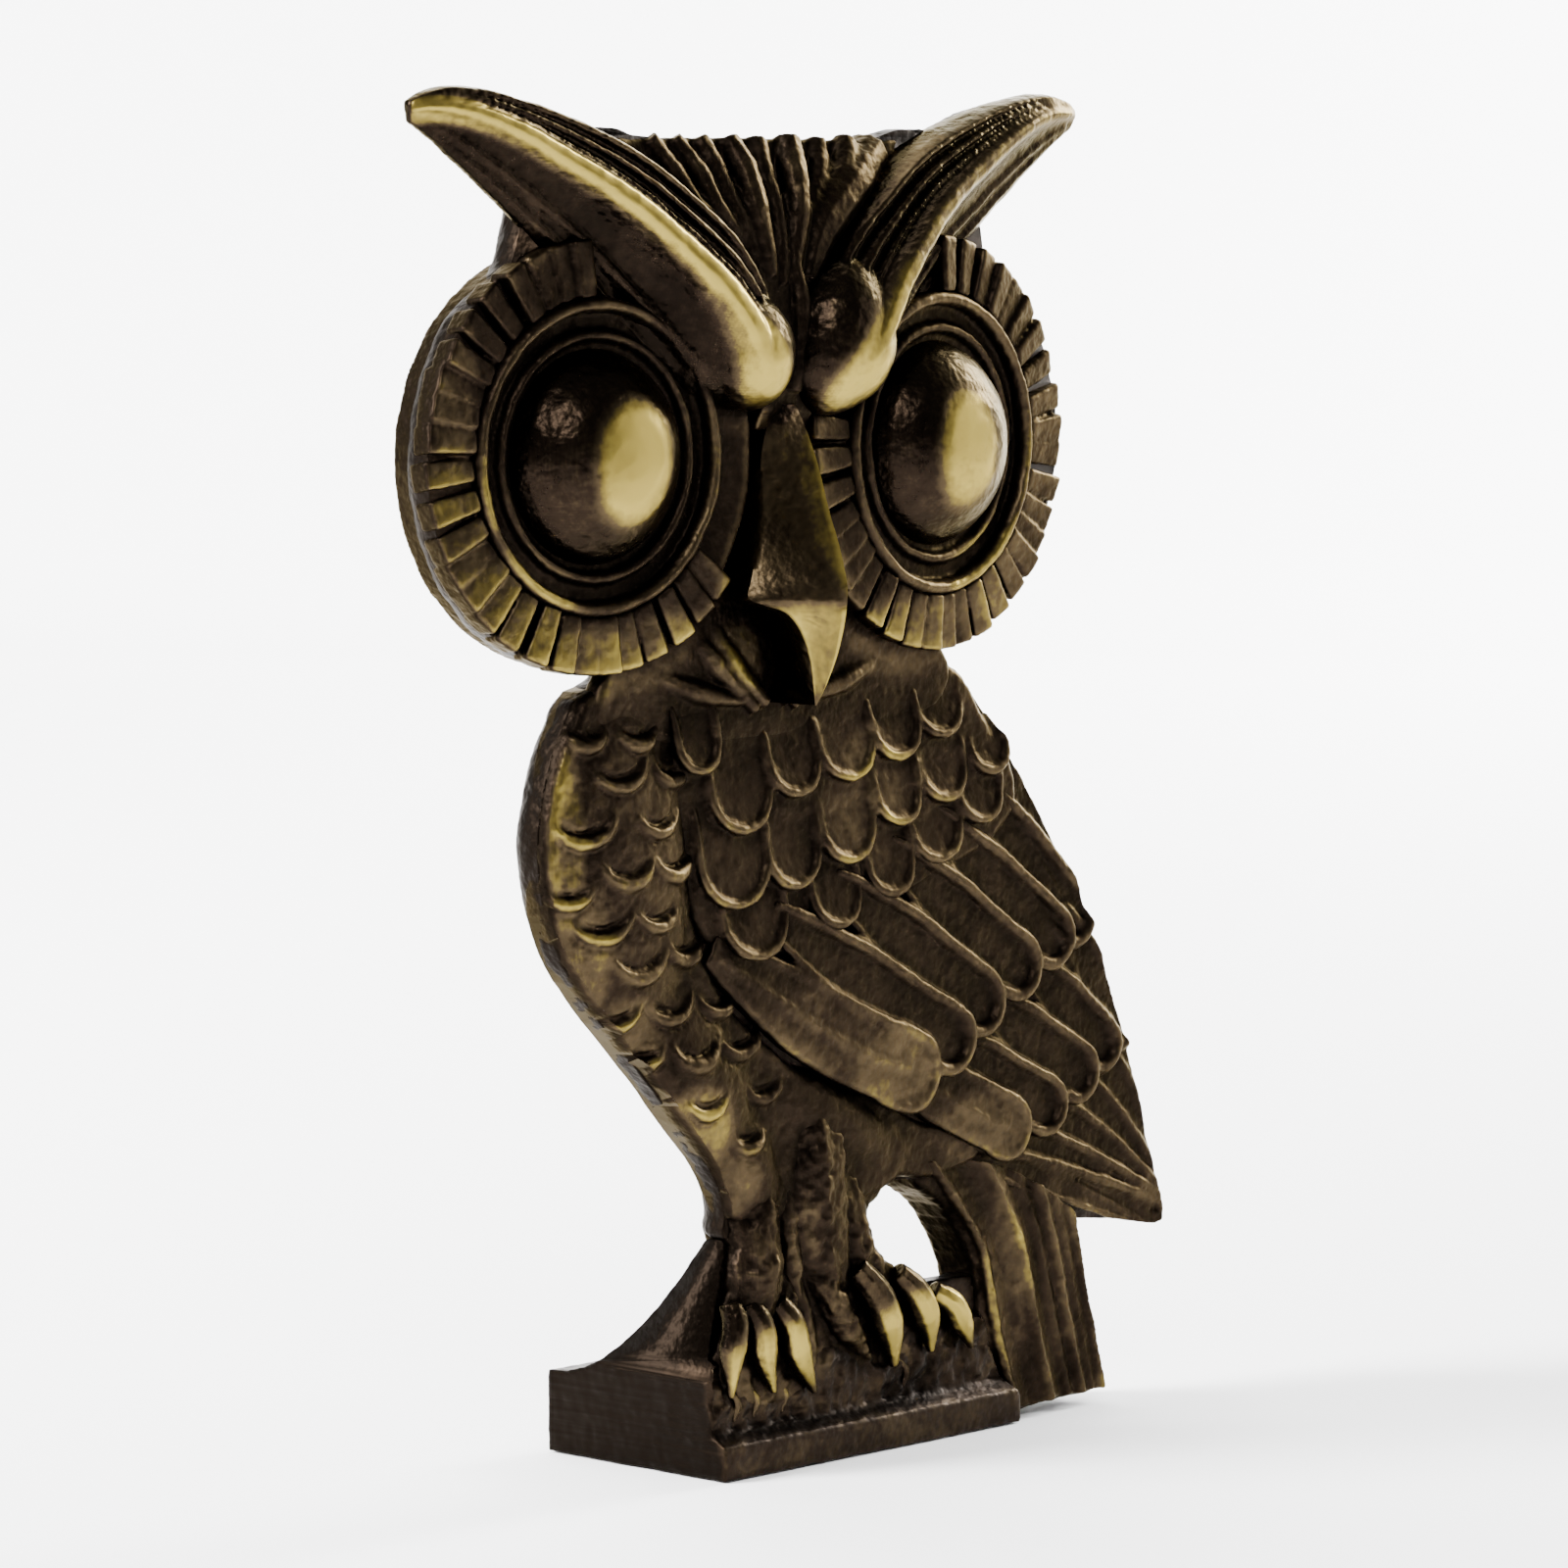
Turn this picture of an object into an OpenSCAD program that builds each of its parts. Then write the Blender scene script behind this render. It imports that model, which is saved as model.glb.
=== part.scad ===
// Owl statuette: a flat-backed relief casting on a base that flares backwards.
// Millimetres. X runs to the viewer's right, Y to the back, Z up.
// The origin is the middle of the base's flat underside.

/* [Base] */
// Width of the base, left to right
base_w = 48.5; // [46:0.5:50]
// Depth of the base, front to back
base_d = 27; // [25:0.5:30]
// Height of the base's flat sides at the front
base_front_h = 12.6; // [11.5:0.1:12.8]
// Height of the base's rear edge
base_rear_h = 9; // [7:0.5:10]
// Height of the plain lip along the front of the base
lip_h = 2.4; // [2:0.1:3]
// How far the lip stands in front of the wall above it
lip_step = 1.9; // [1:0.1:2.2]

/* [Plate] */
// Thickness of the flat plate behind the head and the body
plate_t = 5; // [4:0.5:6]
// How far the plate's front lies behind the front of the base
plate_setback = 3; // [2.5:0.1:3.5]
// Height at which the head meets the body
neck_z = 86; // [85.5:0.1:86.5]

/* [Face] */
// Middle line of the face, measured from the middle of the base
face_x = -15.8; // [-16.2:0.1:-15.4]
// Distance from the middle line to the centre of an eye
eye_reach = 26.5; // [26:0.1:27]
// Height of the eye centres
eye_z = 110.7; // [110:0.1:111.5]
// Outer radius of a fluted face disc
disc_r = 22.5; // [22:0.1:23]
// Height of the flutes over the plate at the eye centre
disc_h = 2.8; // [2.4:0.1:3.2]
// Outward turn of each face disc, in degrees
disc_tilt = 5.4; // [3:0.1:6]
// Number of flutes round a face disc
flutes = 40; // [24:2:48]
// Outer radius of the rings round an eye
ring_r = 16.4; // [16:0.1:17]
// Radius of an eyeball where it meets its rings
eye_r = 12; // [11:0.1:12.4]
// Height of an eyeball's top over the plate
eye_h = 7.8; // [6:0.1:9]
// Height of the beak's ridge over the plate
beak_h = 12.9; // [11:0.1:14]

/* [Feathers] */
// Thickness of the breast swelling over the plate
breast_t = 1.6; // [1:0.1:2]
// Thickness of the crescents on the breast
scale_t = 0.7; // [0.4:0.1:1]
// Thickness of the shoulder feathers over the plate
covert_t = 2.3; // [1.8:0.1:2.8]
// Thickness of the long wing feathers over the plate
feather_t = 1.5; // [1:0.1:2]
// Height of the raised rims on the feathers
rim_t = 0.6; // [0.4:0.1:1]
// Thickness of the tail blade, front to back
tail_t = 8; // [6.5:0.5:8.5]

/* [Hidden] */

$fn = 64;
LEFT = -1;
RIGHT = 1;
gold = "#a8924e";
bronze = "#6b5a42";
dark_bronze = "#473a2c";
filed = "#5a5148";

front_y = -base_d / 2;
face_y = front_y + plate_setback;
back_y = face_y + plate_t;
base_wall_y = front_y + lip_step;
lip_bevel = 2;
leg_t = 1.8;
crown_z = 144;
ankle_z = 29;
curve_steps = 5;
// Depth of a cutting prism, more than the whole figure is deep
deep = 60;

// One point between b and c of a smooth curve through a, b, c and d.
function on_curve(a, b, c, d, t) =
    0.5 * (2 * b + (c - a) * t + (2 * a - 5 * b + 4 * c - d) * t * t
    + (3 * b - a - 3 * c + d) * t * t * t);

// A smooth closed outline through the points of p.
function smooth_loop(p) = [for (i = [0:len(p) - 1], s = [0:curve_steps - 1])
    on_curve(p[(i - 1 + len(p)) % len(p)], p[i],
        p[(i + 1) % len(p)], p[(i + 2) % len(p)], s / curve_steps)];

// A smooth open run through the points of p, from the first to the last.
function smooth_run(p) = concat([for (i = [0:len(p) - 2], s = [0:curve_steps - 1])
    on_curve(p[max(i - 1, 0)], p[i], p[i + 1], p[min(i + 2, len(p) - 1)],
        s / curve_steps)], [p[len(p) - 1]]);

// Gives an outline drawn in X and Z a thickness, starting at y and going back.
module slab(y, thick) {
    translate([0, y + thick, 0])
        rotate([90, 0, 0])
            linear_extrude(thick)
                children();
}

// Raises an outline forward from the plate's front.
module raised(height) {
    slab(face_y - height, height)
        children();
}

// A long feather outline from p to q with a round end at q.
module feather_2d(p, q, w) {
    run = norm(q - p);
    translate(p)
        rotate(atan2(q[1] - p[1], q[0] - p[0])) {
            translate([0, -w / 2])
                square([run - w / 2, w]);
            translate([run - w / 2, 0])
                circle(d = w);
        }
}

// A feather with a raised rim.
module feather(p, q, w, thick) {
    rim = 0.8;
    raised(thick)
        feather_2d(p, q, w);
    raised(thick + rim_t)
        difference() {
            feather_2d(p, q, w);
            translate((p - q) * rim / norm(q - p))
                feather_2d(p, q, w - 2 * rim);
        }
}

// A crescent, open at the top, whose lowest point is at p.
module crescent_2d(p, r) {
    translate([p[0], p[1] + r])
        difference() {
            circle(r);
            translate([0, 0.28 * r])
                circle(r * 0.98);
        }
}

// ---- Base and legs ----

// Outline of the base from the side, as Y and Z. Behind the plate it falls in a hollow
// sweep from top_z to the rear edge.
function base_side(top_z) =
    let (drop = top_z - base_rear_h, run = base_d / 2 - back_y)
    concat([[front_y, 0], [front_y, lip_h], [base_wall_y, lip_h + lip_bevel],
            [base_wall_y, base_front_h], [back_y, base_front_h]],
        smooth_run([[back_y, top_z], [back_y + 0.12 * run, base_rear_h + 0.68 * drop],
            [back_y + 0.6 * run, base_rear_h + 0.2 * drop], [-front_y, base_rear_h]]),
        [[-front_y, 0]]);

module base_length(top_z, x_from, x_to) {
    translate([x_from, 0, 0])
        rotate([90, 0, 90])
            linear_extrude(x_to - x_from)
                polygon(base_side(top_z));
}

// The sweep is high behind the legs and lower behind the gap beside them.
module base_block() {
    legs_top = 23;
    gap_top = 17;
    gap_x = 1;
    side_lean = 12;
    color(filed)
        difference() {
            union() {
                base_length(legs_top, -base_w / 2, gap_x);
                base_length(gap_top, gap_x - 1, base_w / 2);
            }
            translate([-base_w / 2, 0, base_front_h])
                rotate([0, side_lean, 0])
                    translate([-10, back_y - 1, 0])
                        cube([10, deep, 30]);
            slab(front_y - 1, deep)
                polygon(tail_outline);
        }
}

module left_leg() {
    color(bronze)
        slab(face_y - leg_t, plate_t + leg_t)
            polygon([[-21, ankle_z], [-13.5, ankle_z], [-12.5, 24], [-9.5, 17],
                [-7, base_front_h], [-base_w / 2, base_front_h], [-23.8, 15],
                [-21.8, 22]]);
}

module right_leg() {
    color(bronze)
        slab(face_y - leg_t, plate_t + leg_t)
            polygon([[-13.5, ankle_z], [2.6, ankle_z], [1.2, 27], [1, 24.2],
                [2.4, 21.8], [5, 20], [9, 17.6], [14, 15.2], [18, base_front_h],
                [-7, base_front_h], [-9.5, 17], [-12.5, 24]]);
}

// One claw, a drop from its root down to its tip, against the base and the leg above it.
module claw(root, tip) {
    claw_t = 0.6;
    difference() {
        slab(front_y - claw_t, base_wall_y - front_y + claw_t)
            hull() {
                translate(tip)
                    circle(0.8, $fn = 24);
                translate(root)
                    circle(1.7, $fn = 24);
            }
        translate([root[0] - 10, face_y - leg_t, base_front_h])
            cube([20, leg_t, 20]);
    }
}

module left_toes() {
    color(gold)
        for (tip = [[-21, 10], [-15.4, 10], [-9.6, 9.6]])
            claw(tip + [-1.5, 4.6], tip);
}

module right_toes() {
    color(gold)
        for (tip = [[4.6, 10.4], [11, 10.4], [17, 9.8]])
            claw(tip + [-2.6, 4.6], tip);
}

// ---- Body ----

left_edge = [[-42.6, neck_z], [-45.5, 82.5], [-48, 77], [-49.2, 71], [-48.6, 65], [-45.8, 58],
    [-41.5, 52.5], [-34.5, 45.5], [-27.5, 38], [-22.5, 32.3], [-21, ankle_z]];
right_edge = [[36, 21.6], [44, 20.6], [51.4, 19.6], [49.4, 28], [46.4, 37], [43, 46], [39, 54],
    [34, 62], [29, 69.6], [24, 76], [19, 81.6], [14.4, neck_z]];
tail_top = [[9.6, ankle_z + 0.6], [19, 29.6], [28, 25.6], [36, 21.6]];
tail_outline = concat(tail_top, smooth_run([[36, 21.6], [38, 14], [40, 7], [41.6, 2.2]]),
    [[40.6, 1.2], [36, 0.8], [30, 0.6], [25, 0.8], [24.3, 2.6], [21.6, 8], [20, 12], [19.6, 16],
        [17.6, 20.8], [14, 25.4]]);

module body_outline() {
    polygon(concat(smooth_run(left_edge), [[2.6, ankle_z]], tail_top, smooth_run(right_edge)));
}

module body_plate() {
    color(dark_bronze)
        slab(face_y, plate_t)
            body_outline();
}

breast_outline = concat(smooth_run(left_edge),
    smooth_run([[-14, ankle_z + 1], [-13, 36], [-16, 42], [-22, 48], [-26, 56], [-28, 66], [-28, 76],
        [-31, 82], [-38, 84.6]]));

module breast() {
    color(bronze)
        raised(breast_t)
            intersection() {
                polygon(breast_outline);
                body_outline();
            }
}

// Crescents in rows that step down the breast, each row set over the gaps of the last.
module scale_row(z, x_from, count) {
    pitch = 7.2;
    for (i = [0:count - 1])
        crescent_2d([x_from + i * pitch, z - i * 0.2], 3.2);
}

module breast_scales() {
    color(gold)
        slab(face_y - breast_t - scale_t, scale_t)
            intersection() {
                union() {
                    scale_row(75.6, -42, 2);
                    scale_row(70.6, -44, 2);
                    scale_row(65.8, -40, 2);
                    scale_row(60.6, -42.4, 2);
                    scale_row(55.8, -37.6, 2);
                    scale_row(50.8, -38.6, 2);
                    scale_row(46, -31.6, 2);
                    scale_row(40.4, -26, 2);
                    scale_row(35.6, -20, 1);
                }
                polygon(breast_outline);
            }
}

// Rows of round-ended shoulder feathers: first centre, number, step and radius.
covert_rows = [[[-18, 61.5], 1, [0, 0], 5], [[-21.4, 66.6], 4, [8.8, 0.6], 4],
    [[-4.8, 62], 3, [7.2, 3.4], 4], [[-18, 74.6], 5, [8.2, -0.6], 4.1]];

function covert_centres(row) = [for (i = [0:row[1] - 1]) row[0] + i * row[2]];

module covert_zone() {
    polygon(smooth_loop([[-26, 60], [-18, 55], [-8, 57], [2, 61], [11, 64], [20, 68.4], [24, 73],
        [19, 78], [12, 81.6], [0, 83], [-14, 82], [-26, 80], [-27.4, 70]]));
}

module covert_footprint() {
    intersection() {
        covert_zone();
        for (row = covert_rows)
            for (p = covert_centres(row))
                translate(p) {
                    circle(row[3]);
                    translate([-row[3], 0])
                        square([2 * row[3], 2 * row[3]]);
                }
    }
}

module shoulder_coverts() {
    dish_r = 2.9;
    dish_depth = 0.7;
    color(bronze)
        difference() {
            raised(covert_t)
                covert_footprint();
            raised(covert_t + 1)
                breast_2d();
            slab(face_y - covert_t - 1, 1 + dish_depth)
                for (row = covert_rows)
                    for (p = covert_centres(row))
                        translate(p + [0, 0.8])
                            circle(dish_r);
        }
}

module breast_2d() {
    intersection() {
        polygon(breast_outline);
        body_outline();
    }
}

// Start, end and width of each long feather, from the lowest to the highest.
secondaries = [[[-27, 57], [9.6, 40], 7.6], [[-20, 60], [15.6, 43.4], 6.6],
    [[-12, 65], [20.6, 46.6], 6.8], [[-4, 69], [27.6, 50], 7],
    [[5, 73], [33.6, 52.6], 6.8], [[12, 77], [37.4, 55.2], 6.4], [[16, 82], [38, 60], 6.4]];
primaries = [[[4, 38.6], [26, 30.8], 5.4], [[10, 42.6], [32, 34], 5.6],
    [[18, 46], [38.4, 36.8], 5.6], [[26, 49.6], [42.6, 40.2], 5],
    [[34, 52.6], [45, 42.4], 4.6]];
tips = [[[18, 31], [50, 20.6], 4.2], [[26, 33.4], [50.2, 22.4], 4.2],
    [[34, 36], [49.6, 24.6], 4.2], [[40, 38.4], [48.6, 28.6], 4], [[44, 41.4], [47.6, 33], 3]];

module feather_set(set, thick) {
    for (f = set)
        feather(f[0], f[1], f[2], thick);
}

// Outline of a set of feathers, for keeping the next set clear of it.
module set_2d(set) {
    for (f = set)
        feather_2d(f[0], f[1], f[2]);
}

module keep_on_body(from_set = []) {
    difference() {
        intersection() {
            children();
            slab(face_y - 10, 12)
                body_outline();
        }
        raised(10) {
            breast_2d();
            if (len(from_set) > 0)
                set_2d(from_set);
        }
    }
}

module wing_secondaries() {
    color(bronze)
        difference() {
            keep_on_body()
                feather_set(secondaries, feather_t);
            raised(10)
                covert_footprint();
        }
}

module wing_primaries() {
    color(bronze)
        keep_on_body(secondaries)
            feather_set(primaries, feather_t - 0.3);
}

module wing_tip() {
    color(bronze)
        keep_on_body(concat(secondaries, primaries))
            feather_set(tips, feather_t - 0.5);
}

module tail() {
    color(bronze)
        slab(back_y + 1 - tail_t, tail_t)
            polygon(tail_outline);
}

// Long ribs that run down the tail blade.
module tail_ridges() {
    rib_t = 0.8;
    color(gold)
        slab(back_y + 1 - tail_t - rib_t, rib_t)
            intersection() {
                polygon(tail_outline);
                for (rib = [[[11, 29], [24, 4]], [[16, 29], [30, 3]], [[21, 28], [34.5, 3]],
                        [[27.6, 25.6], [38, 4]], [[33, 22.6], [40.6, 4]]])
                    feather_2d(rib[0], rib[1], 1.6);
            }
}

// ---- Head ----

// Half of the crown and its tuft, drawn out from the middle line of the face.
tuft_half = [[18, crown_z], [24, 145.4], [31, 147.4], [38, 148.8], [44.6, 149], [48.6, 148.2],
    [51, 146.4], [47, 144], [42, 141.2], [38, 138], [35.6, 134.6]];

module crown_half_outline() {
    polygon(concat([[-1, neck_z], [-1, crown_z - 0.4]], smooth_run(tuft_half),
        [[20, 120], [28, neck_z]]));
}

// Places what is drawn for one half of the face, left or right.
module on_half(side) {
    translate([face_x, 0])
        mirror([side == LEFT ? 1 : 0, 0])
            children();
}

module head_plate() {
    color(dark_bronze)
        for (side = [LEFT, RIGHT]) {
            slab(face_y, plate_t)
                on_half(side)
                    crown_half_outline();
            translate([face_x + side * eye_reach, back_y, eye_z])
                rotate([90, 0, 0])
                    cylinder(r = disc_r, h = plate_t);
        }
}

// Crest of a brow: distance from the middle line, height, and height over the plate.
brow_crest = [[49.6, 147, 0.8], [44, 146.6, 2], [39.7, 144.8, 3], [32.1, 141, 4.3], [25.4, 137, 5.5],
    [19, 132.5, 7], [12.6, 127, 8.5], [7.8, 121, 9.6], [6.8, 118.6, 8.6], [6.6, 116.6, 5]];
// Half of the brow's width at each point of its crest
brow_half_w = [0.8, 1.8, 2.6, 3.8, 4.4, 4.8, 5, 4.6, 3.8, 2];

brow_line = smooth_run([for (p = brow_crest) [p[0], p[1]]]);
brow_rise = smooth_run([for (p = brow_crest) [p[2], 0]]);
brow_half = smooth_run([for (w = brow_half_w) [w, 0]]);

// Unit direction across the brow at point i, pointing to its upper side.
function brow_across(i) =
    let (a = brow_line[max(i - 1, 0)], b = brow_line[min(i + 1, len(brow_line) - 1)], d = b - a)
    [-d[1], d[0]] / norm(d) * -1;

brow_edge_up = [for (i = [0:len(brow_line) - 1]) brow_line[i] + brow_across(i) * brow_half[i][0]];
brow_edge_low = [for (i = [0:len(brow_line) - 1]) brow_line[i] - brow_across(i) * brow_half[i][0]];

module brow_2d() {
    polygon(concat(brow_edge_up, [for (i = [len(brow_edge_low) - 1:-1:0]) brow_edge_low[i]]));
}

// Section across a brow: place over its half width and height over its crest.
brow_section = [[-1, 0], [-1, 0.25], [-0.7, 0.6], [-0.3, 0.92], [0, 1], [0.35, 0.85], [0.75, 0.5],
    [1, 0.2], [1, 0]];

module brow(side) {
    sides = len(brow_section);
    rings = len(brow_line);
    points = [for (i = [0:rings - 1], s = brow_section)
        let (p = brow_line[i] + brow_across(i) * brow_half[i][0] * s[0])
        [p[0], face_y - brow_rise[i][0] * s[1], p[1]]];
    walls = [for (i = [0:rings - 2], j = [0:sides - 1])
        [i * sides + j, i * sides + (j + 1) % sides,
            (i + 1) * sides + (j + 1) % sides, (i + 1) * sides + j]];
    first_cap = [for (j = [sides - 1:-1:0]) j];
    last_cap = [for (j = [0:sides - 1]) (rings - 1) * sides + j];
    translate([face_x, 0, 0])
        mirror([side == LEFT ? 1 : 0, 0, 0])
            polyhedron(points, concat(walls, [first_cap, last_cap]));
}

module left_brow() {
    color(gold)
        brow(LEFT);
}

module right_brow() {
    color(gold)
        brow(RIGHT);
}

// Puts what is drawn round an eye's axis on the face, and cuts it off at the plate.
module at_eye(side) {
    difference() {
        translate([face_x + side * eye_reach, face_y, eye_z])
            rotate([90, 0, side * disc_tilt])
                children();
        translate([face_x - 90, face_y, 60])
            cube([180, 30, 100]);
    }
}

// Takes the brow's footprint out of a face disc.
module clear_of_brow(side) {
    difference() {
        children();
        raised(20)
            on_half(side)
                brow_2d();
    }
}

module face_disc(side) {
    groove_w = 0.7;
    groove_depth = 0.9;
    clear_of_brow(side)
        at_eye(side)
            difference() {
                translate([0, 0, -4])
                    cylinder(r = disc_r, h = 4 + disc_h);
                translate([0, 0, -5])
                    cylinder(r = ring_r, h = 12);
                for (i = [0:flutes - 1])
                    rotate([0, 0, i * 360 / flutes])
                        translate([ring_r - 1, -groove_w / 2, disc_h - groove_depth])
                            cube([disc_r, groove_w, 3]);
            }
}

module eye_rings(side) {
    low = 1.6;
    high = 3.2;
    clear_of_brow(side)
        at_eye(side)
            rotate_extrude()
                polygon([[eye_r, -4], [eye_r, low], [eye_r + 0.5, high], [eye_r + 1.3, high],
                    [eye_r + 1.9, low], [eye_r + 2.6, low], [eye_r + 3, high - 0.4],
                    [eye_r + 3.7, high - 0.4], [ring_r, low], [ring_r, -4]]);
}

module eyeball(side) {
    cap_h = eye_h - 1.2;
    ball_r = (eye_r * eye_r + cap_h * cap_h) / (2 * cap_h);
    clear_of_brow(side)
        at_eye(side)
            intersection() {
                translate([0, 0, -4])
                    cylinder(r = eye_r, h = 14);
                translate([0, 0, eye_h - ball_r])
                    sphere(ball_r, $fn = 96);
            }
}

module left_face_disc() {
    color(bronze)
        face_disc(LEFT);
}

module right_face_disc() {
    color(bronze)
        face_disc(RIGHT);
}

module left_eye_rings() {
    color(dark_bronze)
        eye_rings(LEFT);
}

module right_eye_rings() {
    color(dark_bronze)
        eye_rings(RIGHT);
}

module left_eyeball() {
    color(gold)
        eyeball(LEFT);
}

module right_eyeball() {
    color(gold)
        eyeball(RIGHT);
}

// Hooked beak: flat facets that meet in a ridge down the middle.
module beak() {
    // Offset from the middle line, height over the plate, and Z
    low_ring = [[0, 0, 115], [3, 0, 112], [3.2, 0, 104], [6.2, 0, 95.4], [3.2, 0, 89], [0, 0, 83.6]];
    side_ring = [[0, 5.4, 115], [3, 3.4, 112], [3.2, 3.6, 104], [6.2, 4.4, 95.4], [3.2, 5.4, 89],
        [0, 8.2, 83.6]];
    ridge = [[0, 8, 110], [0, 10.2, 104], [0, beak_h, 97], [0, beak_h - 0.6, 92]];
    half = concat(low_ring, side_ring, ridge);
    count = len(half);
    points = concat([for (p = half) [face_x + p[0], face_y - p[1], p[2]]],
        [for (p = half) [face_x - p[0], face_y - p[1], p[2]]]);
    walls = [[0, 1, 7, 6], [1, 2, 8, 7], [2, 3, 9, 8], [3, 4, 10, 9], [4, 5, 11, 10]];
    facets = [[6, 7, 12], [7, 8, 13, 12], [8, 9, 14, 13], [9, 15, 14], [9, 10, 15], [10, 11, 15]];
    floor_faces = [[0, 5, 4, 3, 2, 1]];
    right_side = concat(walls, facets, floor_faces);
    left_side = [for (f = right_side) [for (k = [len(f) - 1:-1:0]) f[k] + count]];
    color(gold)
        polyhedron(points, concat(right_side, left_side));
}

// The crown slopes up to the cleft between the brows and is cut by a fan of grooves.
module crown_ribs() {
    cleft_z = 116.5;
    ribs = 11;
    spread = 3.6;
    color(bronze)
        difference() {
            intersection() {
                raised(12)
                    difference() {
                        translate([face_x, 0])
                            polygon([[-18, crown_z - 0.4], [18, crown_z - 0.4], [2.4, cleft_z],
                                [-2.4, cleft_z]]);
                        on_half(LEFT)
                            brow_2d();
                        on_half(RIGHT)
                            brow_2d();
                    }
                translate([face_x - 30, 0, 0])
                    rotate([90, 0, 90])
                        linear_extrude(60)
                            polygon([[face_y, cleft_z - 1], [face_y - 6.6, cleft_z - 1],
                                [face_y - 7.2, 124], [face_y - 1, crown_z], [face_y, crown_z]]);
            }
            for (i = [0:ribs - 1])
                raised_groove((i - (ribs - 1) / 2) * spread);
        }
}

// One groove of the crown, from the cleft up to x_top beside the middle line.
module raised_groove(x_top) {
    slope = atan2(6.2, 20);
    lean = atan2(x_top, 18);
    translate([face_x + 0.06 * x_top, face_y - 7, 127])
        rotate([0, lean, 0])
            rotate([-slope, 0, 0])
                translate([-0.4, -2, 0])
                    cube([0.8, 3, 24]);
}

// Two pairs of feathers that fall away on each side under the beak.
module chin_ruff() {
    ruff_t = 2;
    color(bronze)
        difference() {
            raised(ruff_t)
                for (side = [LEFT, RIGHT])
                    on_half(side) {
                        feather_2d([1, 84], [16, 92], 2.6);
                        feather_2d([1, 87], [9, 94.6], 2.4);
                    }
            raised(ruff_t + 1)
                translate([face_x, 0])
                    polygon([[0, 115], [3, 112], [3.2, 104], [6.2, 95.4], [3.2, 89], [0, 83.6],
                        [-3.2, 89], [-6.2, 95.4], [-3.2, 104], [-3, 112]]);
            for (side = [LEFT, RIGHT])
                raised(ruff_t + 1)
                    translate([face_x + side * eye_reach, eye_z])
                        circle(disc_r);
        }
}

base_block();
left_leg();
right_leg();
left_toes();
right_toes();
body_plate();
breast();
breast_scales();
shoulder_coverts();
wing_secondaries();
wing_primaries();
wing_tip();
tail();
tail_ridges();
head_plate();
left_face_disc();
right_face_disc();
left_eye_rings();
right_eye_rings();
left_eyeball();
right_eyeball();
left_brow();
right_brow();
beak();
crown_ribs();
chin_ruff();
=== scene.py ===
import math

import bpy
import numpy as np
from mathutils import Matrix, Vector


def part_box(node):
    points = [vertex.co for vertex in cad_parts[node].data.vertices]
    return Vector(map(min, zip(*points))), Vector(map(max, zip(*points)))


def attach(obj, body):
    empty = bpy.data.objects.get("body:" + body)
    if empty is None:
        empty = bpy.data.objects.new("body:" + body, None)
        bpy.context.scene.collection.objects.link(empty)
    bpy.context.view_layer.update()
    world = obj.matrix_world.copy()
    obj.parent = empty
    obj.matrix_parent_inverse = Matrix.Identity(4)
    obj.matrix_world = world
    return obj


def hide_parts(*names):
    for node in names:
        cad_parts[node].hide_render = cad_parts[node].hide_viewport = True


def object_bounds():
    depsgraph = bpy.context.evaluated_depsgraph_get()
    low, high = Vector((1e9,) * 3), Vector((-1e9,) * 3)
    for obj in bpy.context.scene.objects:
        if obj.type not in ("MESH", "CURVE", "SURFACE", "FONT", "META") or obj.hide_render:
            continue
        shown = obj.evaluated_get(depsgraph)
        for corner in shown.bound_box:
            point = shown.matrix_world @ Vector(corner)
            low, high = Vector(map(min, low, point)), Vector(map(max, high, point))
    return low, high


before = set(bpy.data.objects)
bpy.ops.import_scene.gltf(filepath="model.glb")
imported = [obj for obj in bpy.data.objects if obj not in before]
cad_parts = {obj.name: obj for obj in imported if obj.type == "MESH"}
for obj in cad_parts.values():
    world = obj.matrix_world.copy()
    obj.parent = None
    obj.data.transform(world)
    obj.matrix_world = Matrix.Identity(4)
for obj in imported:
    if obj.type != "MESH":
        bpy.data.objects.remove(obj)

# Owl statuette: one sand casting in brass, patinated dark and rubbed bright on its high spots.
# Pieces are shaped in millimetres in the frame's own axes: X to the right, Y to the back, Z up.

MM = 0.001
cad_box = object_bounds()


# ---- The frame's own sizes, in millimetres ----

def box_mm(node):
    """Lowest and highest corners of a CAD node."""
    low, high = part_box(node)
    return low / MM, high / MM


plate_low, plate_high = box_mm("body_plate")
head_low, head_high = box_mm("head_plate")
base_low, base_high = box_mm("base_block")
tail_low, tail_high = box_mm("tail")
beak_low, beak_high = box_mm("beak")
FACE_Y = plate_low.y
BACK_Y = plate_high.y
FRONT_Y = base_low.y
REAR_Y = base_high.y
BASE_HALF = base_high.x
FACE_X = (beak_low.x + beak_high.x) / 2
CROWN_Z = 144.0
ring_low, ring_high = box_mm("right_eye_rings")
EYE_Z = (ring_low.z + ring_high.z) / 2
EYE_REACH = (ring_low.x + ring_high.x) / 2 - FACE_X
EYE_TILT = math.radians(5.4)
DISC_R = 22.5
LEFT, RIGHT = -1, 1

# ---- Working helpers ----


def only(*pieces):
    """Selects these pieces alone and makes the first one active."""
    bpy.ops.object.select_all(action="DESELECT")
    for piece in pieces:
        piece.select_set(True)
    bpy.context.view_layer.objects.active = pieces[0]


def apply_modifier(piece, kind, **settings):
    """Adds a modifier, sets it and applies it."""
    only(piece)
    modifier = piece.modifiers.new(kind.title(), kind)
    for key, value in settings.items():
        setattr(modifier, key, value)
    bpy.ops.object.modifier_apply(modifier=modifier.name)


def settle(piece):
    """Puts a piece's place and size into its mesh."""
    only(piece)
    bpy.ops.object.transform_apply(location=True, rotation=True, scale=True)
    return piece


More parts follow.
